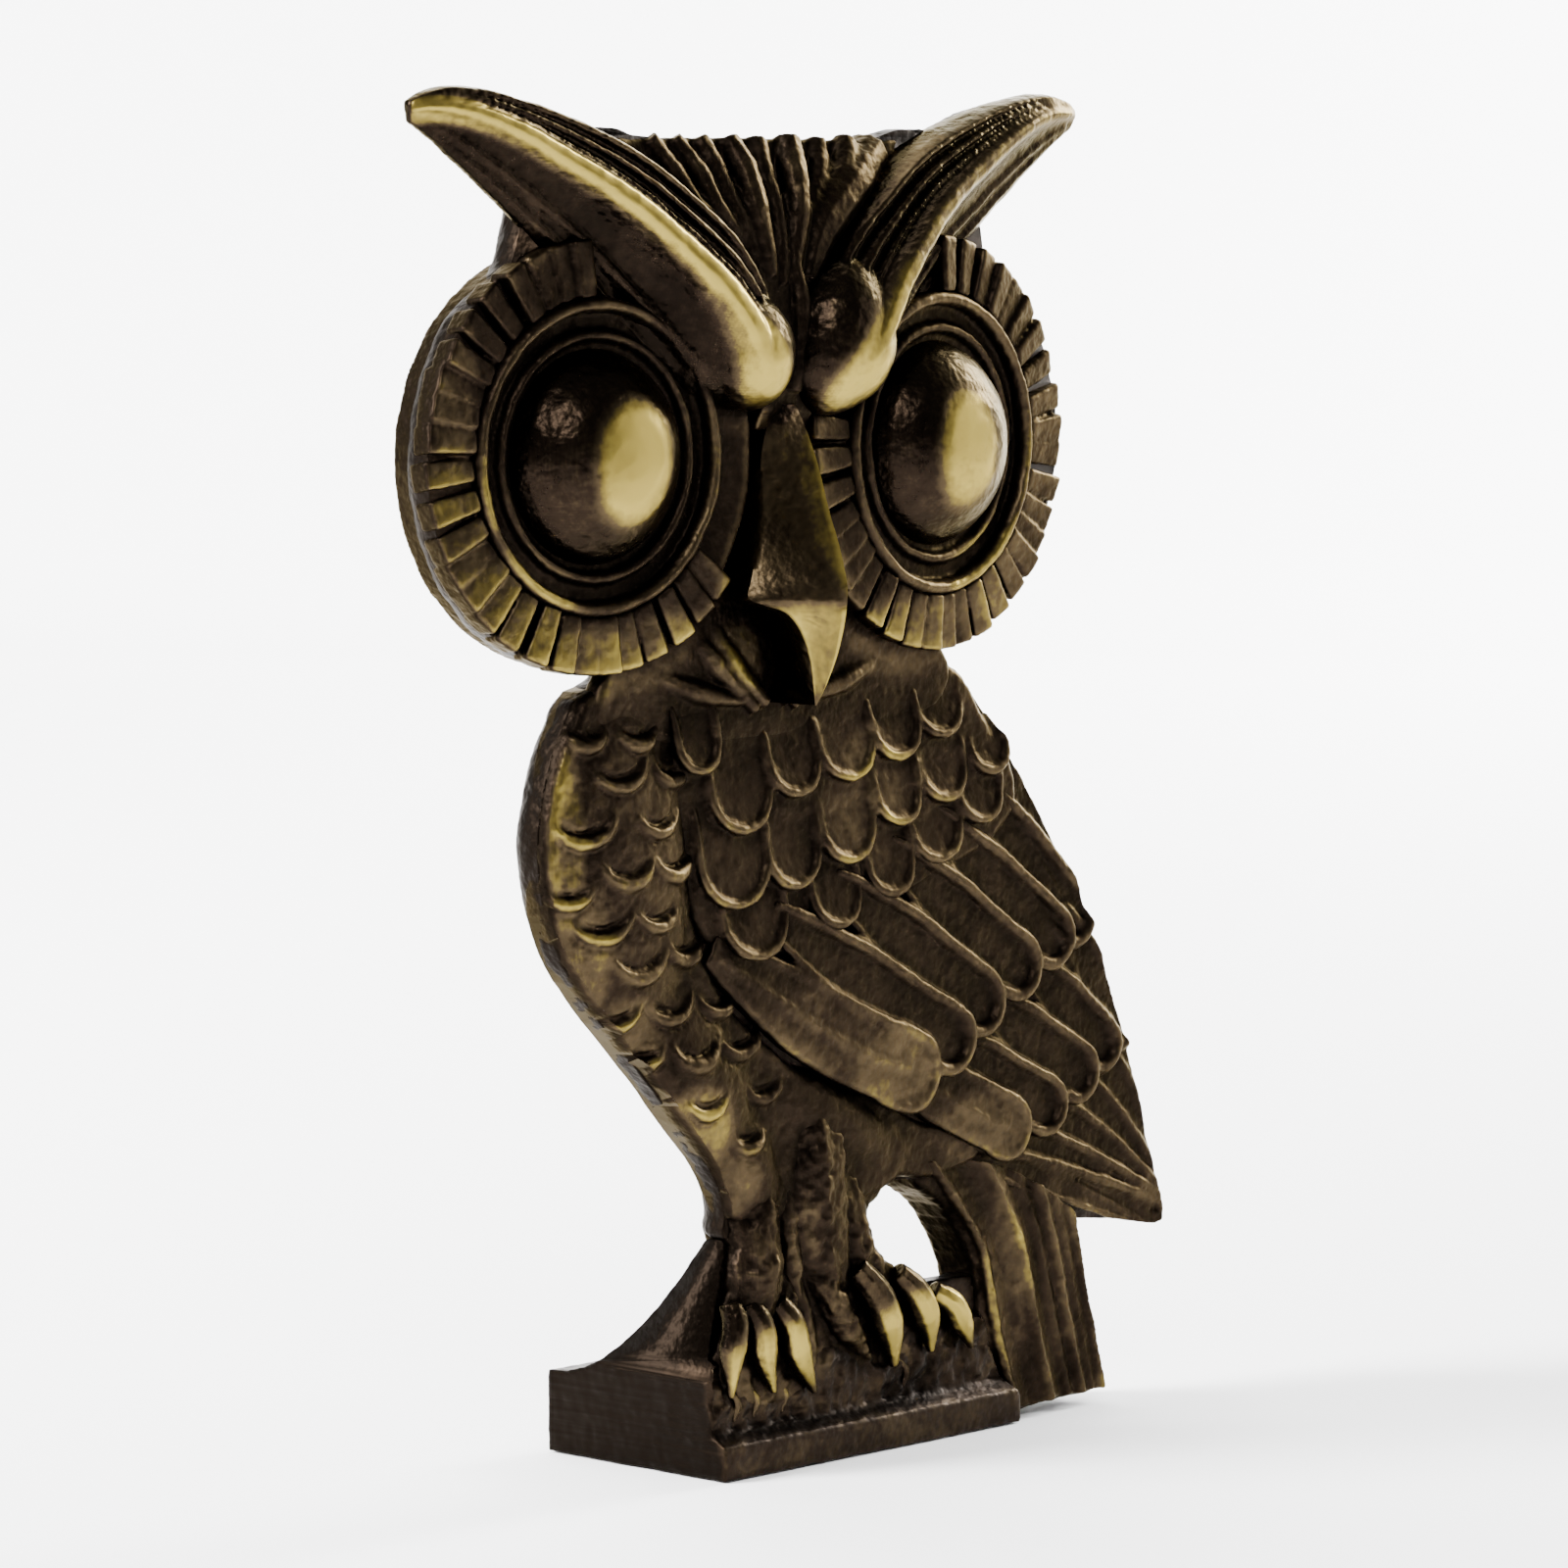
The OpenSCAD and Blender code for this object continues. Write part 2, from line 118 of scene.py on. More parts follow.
def copy_of(piece):
    """A second piece with a mesh of its own."""
    twin = piece.copy()
    twin.data = piece.data.copy()
    bpy.context.scene.collection.objects.link(twin)
    return twin


def at(x, z, h=0.0):
    """A point of the relief, h in front of the plate."""
    return Vector((x, FACE_Y - h, z))


def rod(points, radii):
    """A round rod through the points, its thickness changing from each to the next."""
    bpy.ops.curve.primitive_bezier_curve_add()
    piece = bpy.context.object
    curve = piece.data
    spline = curve.splines[0]
    spline.bezier_points.add(len(points) - 2)
    for knot, point, radius in zip(spline.bezier_points, points, radii):
        knot.co = Vector(point) * MM
        knot.handle_left_type = knot.handle_right_type = "AUTO"
        knot.radius = radius
    curve.bevel_depth = MM
    curve.bevel_resolution = 3
    curve.resolution_u = 5
    curve.use_fill_caps = True
    only(piece)
    bpy.ops.object.convert(target="MESH")
    return bpy.context.object


def cut_shape(outline, thickness, place, rounding=0.0):
    """A smooth closed outline, cut from a sheet of this thickness and put in its place."""
    bpy.ops.curve.primitive_bezier_circle_add()
    piece = bpy.context.object
    curve = piece.data
    curve.dimensions = "2D"
    curve.fill_mode = "BOTH"
    spline = curve.splines[0]
    spline.bezier_points.add(len(outline) - 4)
    for knot, point in zip(spline.bezier_points, outline):
        knot.co = (point[0] * MM, point[1] * MM, 0)
        knot.handle_left_type = knot.handle_right_type = "AUTO"
    curve.resolution_u = 5
    curve.extrude = (thickness / 2 - rounding) * MM
    curve.bevel_depth = rounding * MM
    curve.bevel_resolution = 4
    curve.offset = -rounding * MM
    piece.matrix_world = place
    only(piece)
    bpy.ops.object.convert(target="MESH")
    bpy.ops.object.mode_set(mode="EDIT")
    bpy.ops.mesh.select_all(action="SELECT")
    bpy.ops.mesh.remove_doubles(threshold=0.001 * MM)
    bpy.ops.mesh.normals_make_consistent(inside=False)
    bpy.ops.object.mode_set(mode="OBJECT")
    return bpy.context.object


def cut_straight(outline, thickness, place):
    """A shape with straight sides between its corners, cut and placed in the same way."""
    bpy.ops.mesh.primitive_circle_add(vertices=len(outline), radius=MM, fill_type="NGON")
    piece = bpy.context.object
    for vertex, point in zip(piece.data.vertices, outline):
        vertex.co = (point[0] * MM, point[1] * MM, -thickness / 2 * MM)
    bpy.ops.object.mode_set(mode="EDIT")
    bpy.ops.mesh.select_all(action="SELECT")
    bpy.ops.mesh.extrude_region_move(TRANSFORM_OT_translate={"value": (0, 0, thickness * MM)})
    bpy.ops.mesh.select_all(action="SELECT")
    bpy.ops.mesh.normals_make_consistent(inside=False)
    bpy.ops.object.mode_set(mode="OBJECT")
    piece.matrix_world = place
    return settle(piece)


def slab(outline, y_front, y_back, rounding=0.0):
    """A shape drawn in X and Z that fills the space between two depths."""
    stand = Matrix.Rotation(math.radians(90), 4, "X")
    place = Matrix.Translation((0, (y_front + y_back) / 2 * MM, 0)) @ stand
    return cut_shape(outline, y_back - y_front, place, rounding)


def blob(x, z, h, size, lean=0.0):
    """A rounded lump with its middle h in front of the plate, leaning to the right by lean."""
    bpy.ops.mesh.primitive_uv_sphere_add(
        segments=32, ring_count=20, radius=MM, location=at(x, z, h) * MM,
        rotation=(0, math.radians(lean), 0), scale=(size[0] / 2, size[2] / 2, size[1] / 2))
    return bpy.context.object


def fuse(name, parts, voxel=0.32, soften=2):
    """Runs the parts together into one closed casting with softened creases."""
    only(*parts)
    bpy.ops.object.join()
    piece = settle(bpy.context.object)
    piece.name = piece.data.name = name
    apply_modifier(piece, "REMESH", mode="VOXEL", voxel_size=voxel * MM, adaptivity=0)
    if soften:
        apply_modifier(piece, "SMOOTH", factor=0.5, iterations=soften)
    return piece


def trim(piece, cutter, operation="INTERSECT"):
    """Keeps what lies inside the cutter, or takes the cutter out of the piece."""
    apply_modifier(piece, "BOOLEAN", object=cutter, operation=operation, solver="MANIFOLD")
    bpy.data.objects.remove(cutter)
    return piece


cast_lumps = bpy.data.textures.new("cast_lumps", "CLOUDS")
cast_lumps.noise_scale = 4.0 * MM
cast_lumps.noise_depth = 2
sand_grain = bpy.data.textures.new("sand_grain", "CLOUDS")
sand_grain.noise_scale = 0.9 * MM
sand_grain.noise_depth = 1
down = bpy.data.textures.new("leg_feathers", "CLOUDS")
down.noise_scale = 1.7 * MM
down.noise_depth = 1


def cast_skin(piece, lumps=0.25, grain=0.12):
    """The uneven skin that a sand mould leaves: wide lumps and small grain."""
    for texture, height in ((cast_lumps, lumps), (sand_grain, grain)):
        apply_modifier(piece, "DISPLACE", texture=texture, texture_coords="LOCAL",
                       strength=height * MM, mid_level=0.5)
    only(piece)
    bpy.ops.object.shade_smooth()
    return piece


made = []


def finished(piece, nodes, slot):
    """Books a finished piece: its body, the nodes it stands for and its slot."""
    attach(piece, "root")
    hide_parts(*nodes)
    made.append((piece, slot))


# ---- Camera, floor and light ----


def set_camera():
    azimuth, elevation = math.radians(-47), math.radians(5.16)
    aim = Vector((-14.98, -13.5, 74.8)) * MM
    back = Vector((math.sin(azimuth) * math.cos(elevation),
                   -math.cos(azimuth) * math.cos(elevation), math.sin(elevation)))
    bpy.ops.object.camera_add(location=aim + back * 0.7121)
    camera = bpy.context.object
    camera.rotation_euler = (-back).to_track_quat("-Z", "Y").to_euler()
    camera.data.lens = 152.1
    camera.data.sensor_width = 36
    camera.data.clip_start = 0.01
    bpy.context.scene.camera = camera


def set_floor():
    """A pale paper sweep: flat under the object and curved up far behind it."""
    bpy.ops.mesh.primitive_grid_add(x_subdivisions=2, y_subdivisions=40, size=1,
                                    location=(0, 0, 0))
    floor = bpy.context.object
    floor.name = "floor"
    turn = math.radians(-47)
    for vertex in floor.data.vertices:
        across = vertex.co.x * 9
        run = (vertex.co.y + 0.5) * 4.2 - 1.4
        rise = max(0.0, run - 1.2)
        vertex.co = (across, min(run, 1.2 + rise * 0.25), 0.9 * rise ** 1.6)
    floor.matrix_world = Matrix.Translation((0, 0, -0.0002)) @ Matrix.Rotation(turn, 4, "Z")
    settle(floor)
    bpy.ops.object.shade_smooth()
    paper = bpy.data.materials.new("pale_paper")
    paper.use_nodes = True
    shader = paper.node_tree.nodes["Principled BSDF"]
    shader.inputs["Base Color"].default_value = (0.93, 0.93, 0.93, 1)
    shader.inputs["Roughness"].default_value = 0.9
    floor.data.materials.append(paper)


def soft_light(name, place, aim, size, watts):
    bpy.ops.object.light_add(type="AREA", location=place)
    light = bpy.context.object
    light.name = name
    light.data.size = size
    light.data.energy = watts
    light.rotation_euler = (Vector(aim) - Vector(place)).to_track_quat("-Z", "Y").to_euler()


def set_light():
    middle = (0, 0, 0.075)
    soft_light("key", (-0.5, -0.5, 0.62), middle, 0.25, 6)
    soft_light("front_fill", (0.62, -0.62, 0.3), middle, 0.5, 2.4)
    soft_light("top", (0.1, 0.35, 0.85), middle, 0.6, 8)
    soft_light("backdrop_left", (-0.9, 0.5, 0.7), (0.5, 1.6, 0.3), 0.8, 160)
    soft_light("backdrop_right", (1.5, -0.1, 0.8), (1.2, 1.2, 0.3), 0.8, 160)
    world = bpy.data.worlds.new("studio")
    world.use_nodes = True
    world.node_tree.nodes["Background"].inputs["Color"].default_value = (0.95, 0.97, 1, 1)
    world.node_tree.nodes["Background"].inputs["Strength"].default_value = 0.26
    bpy.context.scene.world = world


set_camera()
set_floor()
set_light()


# ---- Outlines, in X and Z ----

BODY_LEFT = [(-42.6, 86), (-45.5, 82.5), (-48, 77), (-49.2, 71), (-48.6, 65), (-45.8, 58),
             (-41.5, 52.5), (-34.5, 45.5), (-27.5, 38), (-22.5, 32.3), (-21, 28)]
BODY_RIGHT = [(36, 21.6), (44, 20.6), (51, 19.7), (51.3, 20.4), (49.4, 28), (46.4, 37), (43, 46),
              (39, 54), (34, 62), (29, 69.6), (24, 76), (19, 81.6), (14.4, 86)]
BODY = BODY_LEFT + [(-21.2, 26), (-13, 25), (-4, 25.4), (1.4, 26), (3, 28.6), (5, 29.2),
                    (9.6, 29), (19, 28), (28, 25), (35.6, 21.8)] + BODY_RIGHT
BREAST = BODY_LEFT + [(-14, 27), (0, 27.6), (7, 31.6), (6, 35), (-4, 39.6), (-14, 45.6), (-22, 52),
                      (-27, 61), (-28.6, 68), (-28.6, 76), (-31, 82), (-38, 85.6)]
TAIL = [(9.6, 29.6), (19, 30), (28, 27), (36, 22), (36.4, 21), (38, 14), (40, 7), (41.5, 2.4),
        (41, 1.4), (36, 0.9), (30, 0.7), (25.2, 0.8), (24.3, 2.6), (21.6, 8), (20, 12),
        (19.6, 16), (17.6, 20.8), (14, 25.4)]


# ---- Plates behind the relief ----

def flat_front(piece):
    """Planes a plate flush with the face that carries the relief."""
    everything = [(-110, -60), (80, -60), (80, 210), (-110, 210)]
    return trim(piece, slab(everything, FACE_Y, REAR_Y))


def body_plate():
    rounded = slab(BODY, FACE_Y - 3, BACK_Y, rounding=3)
    piece = flat_front(fuse("body_plate", [rounded], voxel=0.45, soften=3))
    finished(cast_skin(piece, 0.5, 0.12), ["body_plate"], "plain_casting")


def head_plate():
    half = [(18, CROWN_Z), (24, 145), (29, 144), (34, 139), (35.6, 134.6), (37.2, 130.6)]
    rim = []
    for turn in range(-100, 56, 12):
        angle = math.radians(turn)
        rim.append((EYE_REACH + DISC_R * math.cos(angle), EYE_Z + DISC_R * math.sin(angle)))
    right = [(FACE_X + x, z) for x, z in rim + half[::-1]]
    left = [(2 * FACE_X - x, z) for x, z in right[::-1]]
    outline = right + left + [(-42, 85.4), (-30, 84.8), (0, 84.8), (12, 86)]
    rounded = slab(outline, FACE_Y - 3, BACK_Y, rounding=3)
    tuft_line = [(20, 138), (32, 143), (41, 145.6), (47.6, 146.4)]
    tufts = []
    for side in (LEFT, RIGHT):
        points = [Vector((FACE_X + side * x, (FACE_Y + BACK_Y) / 2 - 0.2, z)) for x, z in tuft_line]
        tufts.append(rod(points, [3.0, 2.9, 2.6, 1.5]))
    piece = flat_front(fuse("head_plate", [rounded] + tufts, voxel=0.45, soften=3))
    finished(cast_skin(piece, 0.5, 0.12), ["head_plate"], "plain_casting")


# ---- Sheets pulled over a row of ribs ----


def between(a, b, c, d, share):
    """A point of the smooth line through four knots, between the middle two."""
    return 0.5 * (2 * b + (c - a) * share + (2 * a - 5 * b + 4 * c - d) * share ** 2
                  + (3 * b - a - 3 * c + d) * share ** 3)


def eased(knots, steps):
    """The knots and the points between them on a smooth line."""
    knots = [np.array(knot, dtype=float) for knot in knots]
    knots = [knots[0]] + knots + [knots[-1]]
    points = []
    for i in range(1, len(knots) - 2):
        for step in range(steps):
            points.append(between(*knots[i - 1:i + 3], step / steps))
    points.append(knots[-1])
    return points


def sheet(rows, back=1.0):
    """A solid whose front runs through rows of points and whose back is flat in the plate."""
    across, along = len(rows[0]), len(rows)
    bpy.ops.mesh.primitive_grid_add(x_subdivisions=across - 1, y_subdivisions=along - 1, size=MM)
    piece = bpy.context.object
    front = [point for row in rows for point in row]
    for vertex, point in zip(piece.data.vertices, front):
        vertex.co = Vector(point) * MM
    bpy.ops.object.mode_set(mode="EDIT")
    bpy.ops.mesh.select_all(action="SELECT")
    bpy.ops.mesh.extrude_region_move(TRANSFORM_OT_translate={"value": (0, 9 * MM, 0)})
    bpy.ops.transform.resize(value=(1, 0, 1), center_override=(0, (FACE_Y + back) * MM, 0))
    bpy.ops.mesh.select_all(action="SELECT")
    bpy.ops.mesh.normals_make_consistent(inside=False)
    bpy.ops.object.mode_set(mode="OBJECT")
    return piece


# ---- Face ----


def eye_place(side):
    """Frame of an eye: its axis leans outwards from the middle of the face."""
    centre = Vector((FACE_X + side * EYE_REACH, FACE_Y, EYE_Z)) * MM
    return Matrix.Translation(centre) @ Matrix.Rotation(side * EYE_TILT, 4, "Z")


def ring(radius, half_width, height, thickness):
    """A raised ring round an eye's axis, its top at this height."""
    bpy.ops.mesh.primitive_torus_add(
        major_segments=128, minor_segments=16, major_radius=radius * MM,
        minor_radius=half_width * MM, location=(0, (thickness - height) * MM, 0),
        rotation=(math.radians(90), 0, 0))
    piece = bpy.context.object
    piece.scale = (1, 1, thickness / half_width)
    return settle(piece)


def round_bed(radius, height, depth):
    """A solid disc round an eye's axis, from depth behind the plate's front to this height."""
    bpy.ops.mesh.primitive_cylinder_add(
        vertices=128, radius=radius * MM, depth=(height + depth) * MM,
        location=(0, (depth - height) / 2 * MM, 0), rotation=(math.radians(90), 0, 0))
    return settle(bpy.context.object)


def flute():
    """One pad of the fluted rim, wider at its outer end, tilted and with rounded edges."""
    bpy.ops.mesh.primitive_cube_add(size=MM, location=(0, 0, 0))
    piece = bpy.context.object
    piece.scale = (6.2, 3.4, 2.35)
    settle(piece)
    for vertex in piece.data.vertices:
        vertex.select = False
    for edge in piece.data.edges:
        edge.select = False
    for face in piece.data.polygons:
        face.select = face.center.x > 2 * MM
    bpy.ops.object.mode_set(mode="EDIT")
    bpy.ops.transform.resize(value=(1, 0.86, 1.3))
    bpy.ops.mesh.select_all(action="SELECT")
    bpy.ops.mesh.bevel(offset=0.35 * MM, segments=3, affect="EDGES")
    bpy.ops.object.mode_set(mode="OBJECT")
    piece.rotation_euler = (math.radians(9), 0, 0)
    piece.location = (19.7 * MM, -1.1 * MM, 0)
    return settle(piece)


def face_disc(side, name):
    flutes = 40
    pad = flute()
    parts = [round_bed(22.2, 1.1, 4)]
    for i in range(flutes):
        turn = (i + 0.5) * 2 * math.pi / flutes + 0.025 * math.sin(7.3 * i)
        inwards, upwards = -side * math.cos(turn), -math.sin(turn)
        hidden_from = -38 if side == LEFT else 14
        if hidden_from < math.degrees(math.atan2(upwards, inwards)) < 90:
            continue
        twin = copy_of(pad)
        lift = 0.18 * math.sin(4.1 * i + side) * MM
        twin.matrix_world = Matrix.Rotation(turn, 4, "Y") @ Matrix.Translation((0, lift, 0))
        parts.append(twin)
    bpy.data.objects.remove(pad)
    for part in parts:
        part.matrix_world = eye_place(side) @ part.matrix_world
    piece = fuse(name, parts, voxel=0.26, soften=1)
    finished(cast_skin(piece, 0.25, 0.1), [name], "relief_casting")


def eye_rings(side, name):
    parts = [round_bed(16.8, 1.3, 4), ring(15.9, 0.8, 3.3, 1.2), ring(12.7, 0.65, 2.5, 1.0)]
    for part in parts:
        part.matrix_world = eye_place(side) @ part.matrix_world
    piece = fuse(name, parts, voxel=0.26, soften=2)
    finished(cast_skin(piece, 0.35, 0.1), [name], "relief_casting")


def eyeball(side, name):
    """A dome with a worn, slightly flattened top."""
    profile = [(11.6, 0.4), (11.2, 1.6), (10.3, 3.4), (8.8, 5.1), (6.9, 6.5), (4.7, 7.4),
               (2.4, 7.8), (0.6, 7.9), (0, 7.9)]
    bpy.ops.mesh.primitive_circle_add(vertices=96, radius=11.6 * MM, fill_type="NOTHING",
                                      rotation=(math.radians(90), 0, 0), location=(0, 4 * MM, 0))
    ball = settle(bpy.context.object)
    before = 11.6, -4
    bpy.ops.object.mode_set(mode="EDIT")
    bpy.ops.mesh.select_all(action="SELECT")
    for radius, height in profile[:-1]:
        bpy.ops.mesh.extrude_region_move(
            TRANSFORM_OT_translate={"value": (0, (before[1] - height) * MM, 0)})
        share = radius / before[0]
        bpy.ops.transform.resize(value=(share, 1, share), center_override=(0, 0, 0))
        before = radius, height
    bpy.ops.mesh.edge_face_add()
    bpy.ops.mesh.select_all(action="DESELECT")
    bpy.ops.mesh.select_non_manifold()
    bpy.ops.mesh.edge_face_add()
    bpy.ops.mesh.select_all(action="SELECT")
    bpy.ops.mesh.normals_make_consistent(inside=False)
    bpy.ops.object.mode_set(mode="OBJECT")
    ball.matrix_world = eye_place(side)
    piece = fuse(name, [ball], voxel=0.3, soften=6)
    finished(cast_skin(piece, 0.12, 0.02), [name], "rubbed_casting")


# Crest of a brow: distance from the middle line, height, height over the plate, widths of
# the sides towards the crown and towards the eye
CREST = [(51.6, 146.6, 0.5, 0.1, 0.15), (49.4, 146.9, 1.5, 0.2, 0.3), (45.4, 146.7, 2.4, 0.32, 0.5),
         (39.7, 145.0, 3.6, 0.46, 0.66), (32.3, 141.5, 4.9, 0.68, 0.82),
         (24.9, 137.4, 6.4, 0.86, 0.94), (19.2, 133.2, 7.9, 0.95, 1.02),
         (13.8, 128.4, 9.4, 1.05, 1.04), (10.2, 123.8, 10.2, 1.02, 0.96),
         (8.0, 119.6, 9.6, 0.86, 0.8), (6.8, 116.8, 7.4, 0.5, 0.5)]
# Cross-section of a brow, from the crown's side over the crest to the eye: place, height share
BROW = [(-7.4, 0.12), (-6.9, 0.5), (-6.4, 0.68), (-5.9, 0.7), (-5.4, 0.56), (-4.9, 0.54),
        (-4.4, 0.72), (-3.9, 0.76), (-3.4, 0.6), (-2.9, 0.62), (-2.5, 0.78), (-2.0, 0.7),
        (-1.5, 0.86), (-0.9, 0.97), (-0.2, 1.0), (0.6, 0.99), (1.3, 0.9), (2.2, 0.68),
        (3.2, 0.5), (4.3, 0.38), (5.2, 0.33), (5.8, 0.38), (6.3, 0.34), (6.8, 0.22),
        (7.6, 0.2), (8.2, 0.24), (8.7, 0.14), (9.4, 0.04)]


def brow(side, name):
    line = eased(CREST, 5)
    rows = []
    last = len(line) - 1
    for i, (x, z, h, above, below) in enumerate(line):
        step = line[min(i + 1, last)][:2] - line[max(i - 1, 0)][:2]
        step /= np.linalg.norm(step)
        shape = []
        bulb = min(1.0, max(0.0, (i / last - 0.58) / 0.3))
        for place, share in BROW:
            wide = above if place < 0 else below
            smooth = 1 - (place / 9.0) ** 2
            level = share * (1 - bulb) + (0.25 * share + 0.75 * smooth) * bulb
            shape.append(at(FACE_X + side * (x - step[1] * place * wide),
                            z + step[0] * place * wide, h * level))
        rows.append(shape)
    parts = [sheet(rows, back=0.8)]
    parts.append(blob(FACE_X + side * (8.0 + 0.7 * side), 121.6, 3.8, (11.8, 13.6, 12.6),
                      lean=side * 24))
    if side == RIGHT:
        parts.append(blob(FACE_X + 7.4, 122.8, 3.6, (14.2, 18, 12.8), lean=24))
    piece = fuse(name, parts, voxel=0.26, soften=2)
    finished(cast_skin(piece, 0.3, 0.06), [name], "rubbed_casting")


# Ribs of the crown: place at the top and at the foot, foot's height, thickness and lift
RIBS = [(-16.8, -6.4, 134.8, 1.2, -0.3), (-13.0, -5.0, 132.4, 1.1, 0.2), (-9.4, -3.8, 130.6, 1.35, -0.1),
        (-5.0, -2.6, 129.2, 1.6, 0.4), (-0.4, -1.0, 128.4, 1.3, 0.0), (4.4, 0.4, 128.6, 1.7, 0.4),
        (9.2, 1.8, 130.0, 1.3, -0.1), (13.6, 3.2, 131.8, 1.5, 0.2)]


def crown_ribs():
    slope = ((143.8, 0.1, 22), (141, 0.8, 20.5), (137, 2.0, 16), (133, 3.3, 11.6),
             (129, 4.6, 8), (125, 5.2, 5.4), (120, 5.0, 4), (115, 4.4, 4), (113, 3.4, 4))
    wedge = []
    for z, h, half in slope:
        wedge.append([at(FACE_X + half * k / 6, z, h) for k in range(-6, 7)])
    parts = [sheet(wedge)]

    def on_slope(x, z, over):
        """A point this far over the crown's slope."""
        return at(FACE_X + x, z, np.interp(-z, [-row[0] for row in slope],
                                           [row[1] for row in slope]) + over)

    for top, foot, low, thick, lift in RIBS:
        wander = 0.5 * math.sin(3.7 * top)
        points = [on_slope(top, 143.7, -0.3), on_slope(top * 0.8 + foot * 0.2 + wander, 140.4, 0.3 + lift),
                  on_slope(top * 0.48 + foot * 0.52 - wander * 0.6, 136.2, 0.5 + lift),
                  on_slope(foot, low, -0.2)]
        parts.append(rod(points, [thick * 0.95, thick * 1.1, thick, thick * 0.5]))
    facet = [on_slope(18.6, 142.4, -1.6), on_slope(12, 138.6, -0.6), on_slope(6.2, 134.2, -0.6),
             on_slope(3, 128.6, -1.2)]
    parts.append(rod(facet, [2.6, 3.4, 3.0, 1.8]))
    parts.append(rod([at(FACE_X + 0.8, 131, 4.4), at(FACE_X + 1.2, 124, 5.0),
                      at(FACE_X + 0.6, 117, 4.4)], [0.8, 1.6, 1.2]))
    piece = fuse("crown_ribs", parts, voxel=0.26, soften=1)
    finished(cast_skin(piece, 0.5, 0.15), ["crown_ribs"], "relief_casting")


# Beak from top to tip: height, half width, height of its side edges and of its keel
BEAK = [(115.6, 1.2, 4.4, 5.4), (113.4, 2.4, 3.6, 6.8), (109.6, 3.0, 3.2, 8.6),
        (104.6, 3.3, 3.4, 10.3), (100.4, 4.2, 3.8, 11.9), (97, 5.6, 4.2, 12.9),
        (95.2, 6.2, 4.4, 13.0), (94.4, 5.0, 5.6, 12.9), (93.6, 3.4, 7.2, 12.8),
        (91.6, 2.0, 8.0, 12.3), (88.6, 1.1, 8.5, 11.3), (85.6, 0.5, 8.5, 9.8),
        (83.6, 0.08, 8.4, 8.5)]


def beak():
    rows = []
    for z, half, side_h, keel_h in eased(BEAK, 8):
        root = z + 0.62 * max(0.0, 94 - z)
        row = [at(FACE_X - half, root, -0.9), at(FACE_X - half, (z + root) / 2, side_h * 0.5)]
        for i in range(-12, 13):
            share = i / 12
            level = side_h + (keel_h - side_h) * (1 - abs(share)) ** 1.15
            row.append(at(FACE_X + half * share, z, level))
        row += [at(FACE_X + half, (z + root) / 2, side_h * 0.5), at(FACE_X + half, root, -0.9)]
        rows.append(row)
    piece = sheet(rows)
    piece.name = piece.data.name = "beak"
    piece = cast_skin(piece, 0.12, 0.05)
    only(piece)
    bpy.ops.object.shade_smooth_by_angle(angle=math.radians(38))
    finished(piece, ["beak"], "rubbed_casting")


def chin_ruff():
    parts = []
    for side in (LEFT, RIGHT):
        for start, middle, end, thick in (((1.2, 83.6), (6.6, 88.5), (9.4, 94), 1.5),
                                          ((2.8, 83), (8.4, 88), (12.4, 92.6), 1.4),
                                          ((5, 84), (12, 85.4), (20, 88.6), 1.3)):
            points = [at(FACE_X + side * x, z, h) for (x, z), h in
                      ((start, 2.2), (middle, 1.6), (end, 0.3))]
            parts.append(rod(points, [thick * 0.5, thick, thick * 0.5]))
    parts.append(blob(FACE_X, 90, 0, (17, 13, 5.6)))
    neck = [(-42, 82.5), (-41.5, 87), (-34, 93), (-16, 96), (4, 93), (12.4, 88), (13.6, 84),
            (6, 80), (-16, 79.5), (-33, 80)]
    parts.append(slab(neck, FACE_Y - 1.7, FACE_Y + 1, rounding=0.9))
    piece = fuse("chin_ruff", parts, voxel=0.26, soften=2)
    finished(cast_skin(piece, 0.3, 0.15), ["chin_ruff"], "relief_casting")


# ---- Feathers ----


